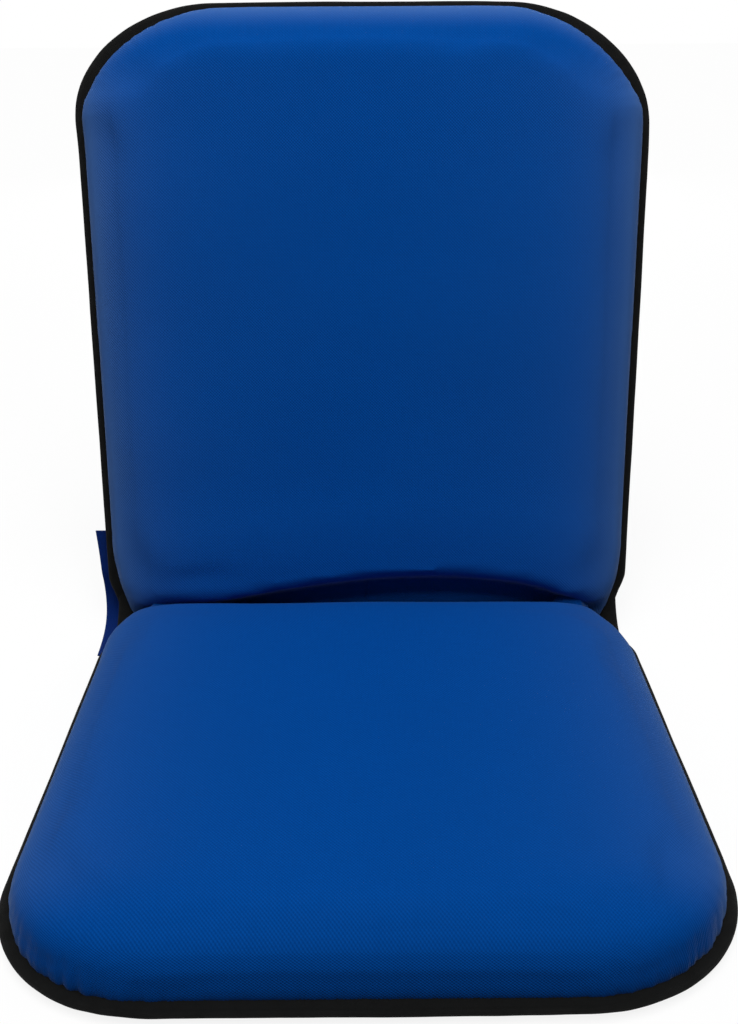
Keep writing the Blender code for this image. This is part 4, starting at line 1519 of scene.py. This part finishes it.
def fold_point(lay: Lay, a: float, n: float) -> tuple[float, float]:
    """A place in a panel's cross-section as the object's Y and Z.

    Args:
        lay: the panel.
        a: distance from the fold.
        n: height towards the sitter.

    Returns:
        Y and Z.
    """
    place = Panel(lay, 0.5, 0.5).matrix() @ Vector((0.0, a, n))
    return place.y, place.z


def crease_section(radius: float = 0.0166, steps: int = 24) -> list[tuple[float, float]]:
    """The crease cloth's cross-section, round the front of the hinges.

    Args:
        radius: how far it lies from the fold's axis.
        steps: how many stretches.

    Returns:
        Y and Z of each point, from the seat to the back.
    """
    first = math.pi - math.radians(3.0)
    last = math.pi / 2 - RECLINE + math.radians(3.0)
    angles = [first + (last - first) * i / steps for i in range(steps + 1)]
    return [(PIVOT_Y + radius * math.cos(t), PIVOT_HEIGHT + radius * math.sin(t)) for t in angles]


def rear_section(sewn: float = 0.022, top: float = 0.072, steps: int = 40) -> list[tuple[float, float]]:
    """The rear cloth's cross-section, from under the seat's end up the back's rear.

    Args:
        sewn: how far from the fold it is sewn under the seat.
        top: how far up the back it reaches.
        steps: how many stretches.

    Returns:
        Y and Z of each point, from the seat to the back.
    """
    low = Vector(fold_point(Lay.SEAT, sewn, -0.0352))
    turn = Vector(fold_point(Lay.BACK, 0.030, -0.0385))
    high = Vector(fold_point(Lay.BACK, top, -0.0375))
    sag = Vector((low[0] + 0.035, 0.0012))
    pull = Vector((turn[0] + 0.004, 0.004))
    points = []
    for i in range(steps + 1):
        t = i / steps
        u = 1 - t
        mixed = low * u ** 3 + sag * 3 * u * u * t + pull * 3 * u * t * t + turn * t ** 3
        points.append((mixed[0], max(mixed[1], 0.0008)))
    points.append((high[0], high[1]))
    return points


def main() -> None:
    """Builds the studio and the object's pieces in order."""
    logging.basicConfig(level=logging.INFO, format="%(name)s: %(message)s")
    Studio().make()
    seat = Panel(Lay.SEAT, 0.415, 0.520, waist_length=0.040, left_slip=(0.002, 0.003))
    back = Panel(Lay.BACK, 0.5575, 0.526, waist_width=0.490, waist_length=0.030, left_slip=(0.005, -0.003),
                 right_slip=(-0.002, -0.004))
    pieces = [
        Cushion(seat, ["seat_top_cover", "seat_foam", "seat_base_foam", "seat_bottom_cover"],
                end_roll=0.031, end_wall=-0.0140, end_bulge=0.0010, end_reach=0.0032, corner_draw=-0.0015,
                left_nip=0.001, right_nip=0.010, tuck=-0.006),
        # The back pad carries painted sheen along its sides and along its top edge.
        Cushion(back, ["back_front_cover", "back_foam", "back_base_foam", "back_rear_cover"], arch=BACK_ARCH,
                voxel=0.0056, belly=0.004, end_roll=0.042, end_bulge=0.0034, end_reach=0.0032, end_focus=3.0,
                corner_draw=0.006, left_nip=0.006, right_nip=0.004, tuck=0.014, end_painted_sheen=0.9,
                painted_sheen=((1.40, 0.020), (0.15, 0.100))),
        Binding(seat, ["seat_binding"]),
        Binding(back, ["back_binding"]),
        WaistTape("left_waist_tape", -1.0),
        WaistTape("right_waist_tape", 1.0),
        FoldCloth("crease_cloth", "crease_panel", COVER, crease_section(), -0.212, 0.212,
                  (0.0, PIVOT_Y - 0.014, PIVOT_HEIGHT + 0.004),
                  (0.0, PIVOT_Y + 0.002, PIVOT_HEIGHT + 0.014), sink=0.75),
        FoldCloth("rear_cloth", "rear_hinge_panel", BASE, rear_section(), -0.2595, 0.238,
                  (0.0, PIVOT_Y - 0.010, 0.002), (0.0, PIVOT_Y + 0.044, 0.060), flare=0.0085),
    ]
    for piece in pieces:
        made = piece.make()
        LOG.info("%s: %d faces", made.name, len(made.data.polygons))
    Hardware().dress()
    LOG.info("steel and webbing dressed")


if __name__ == "__main__":
    main()
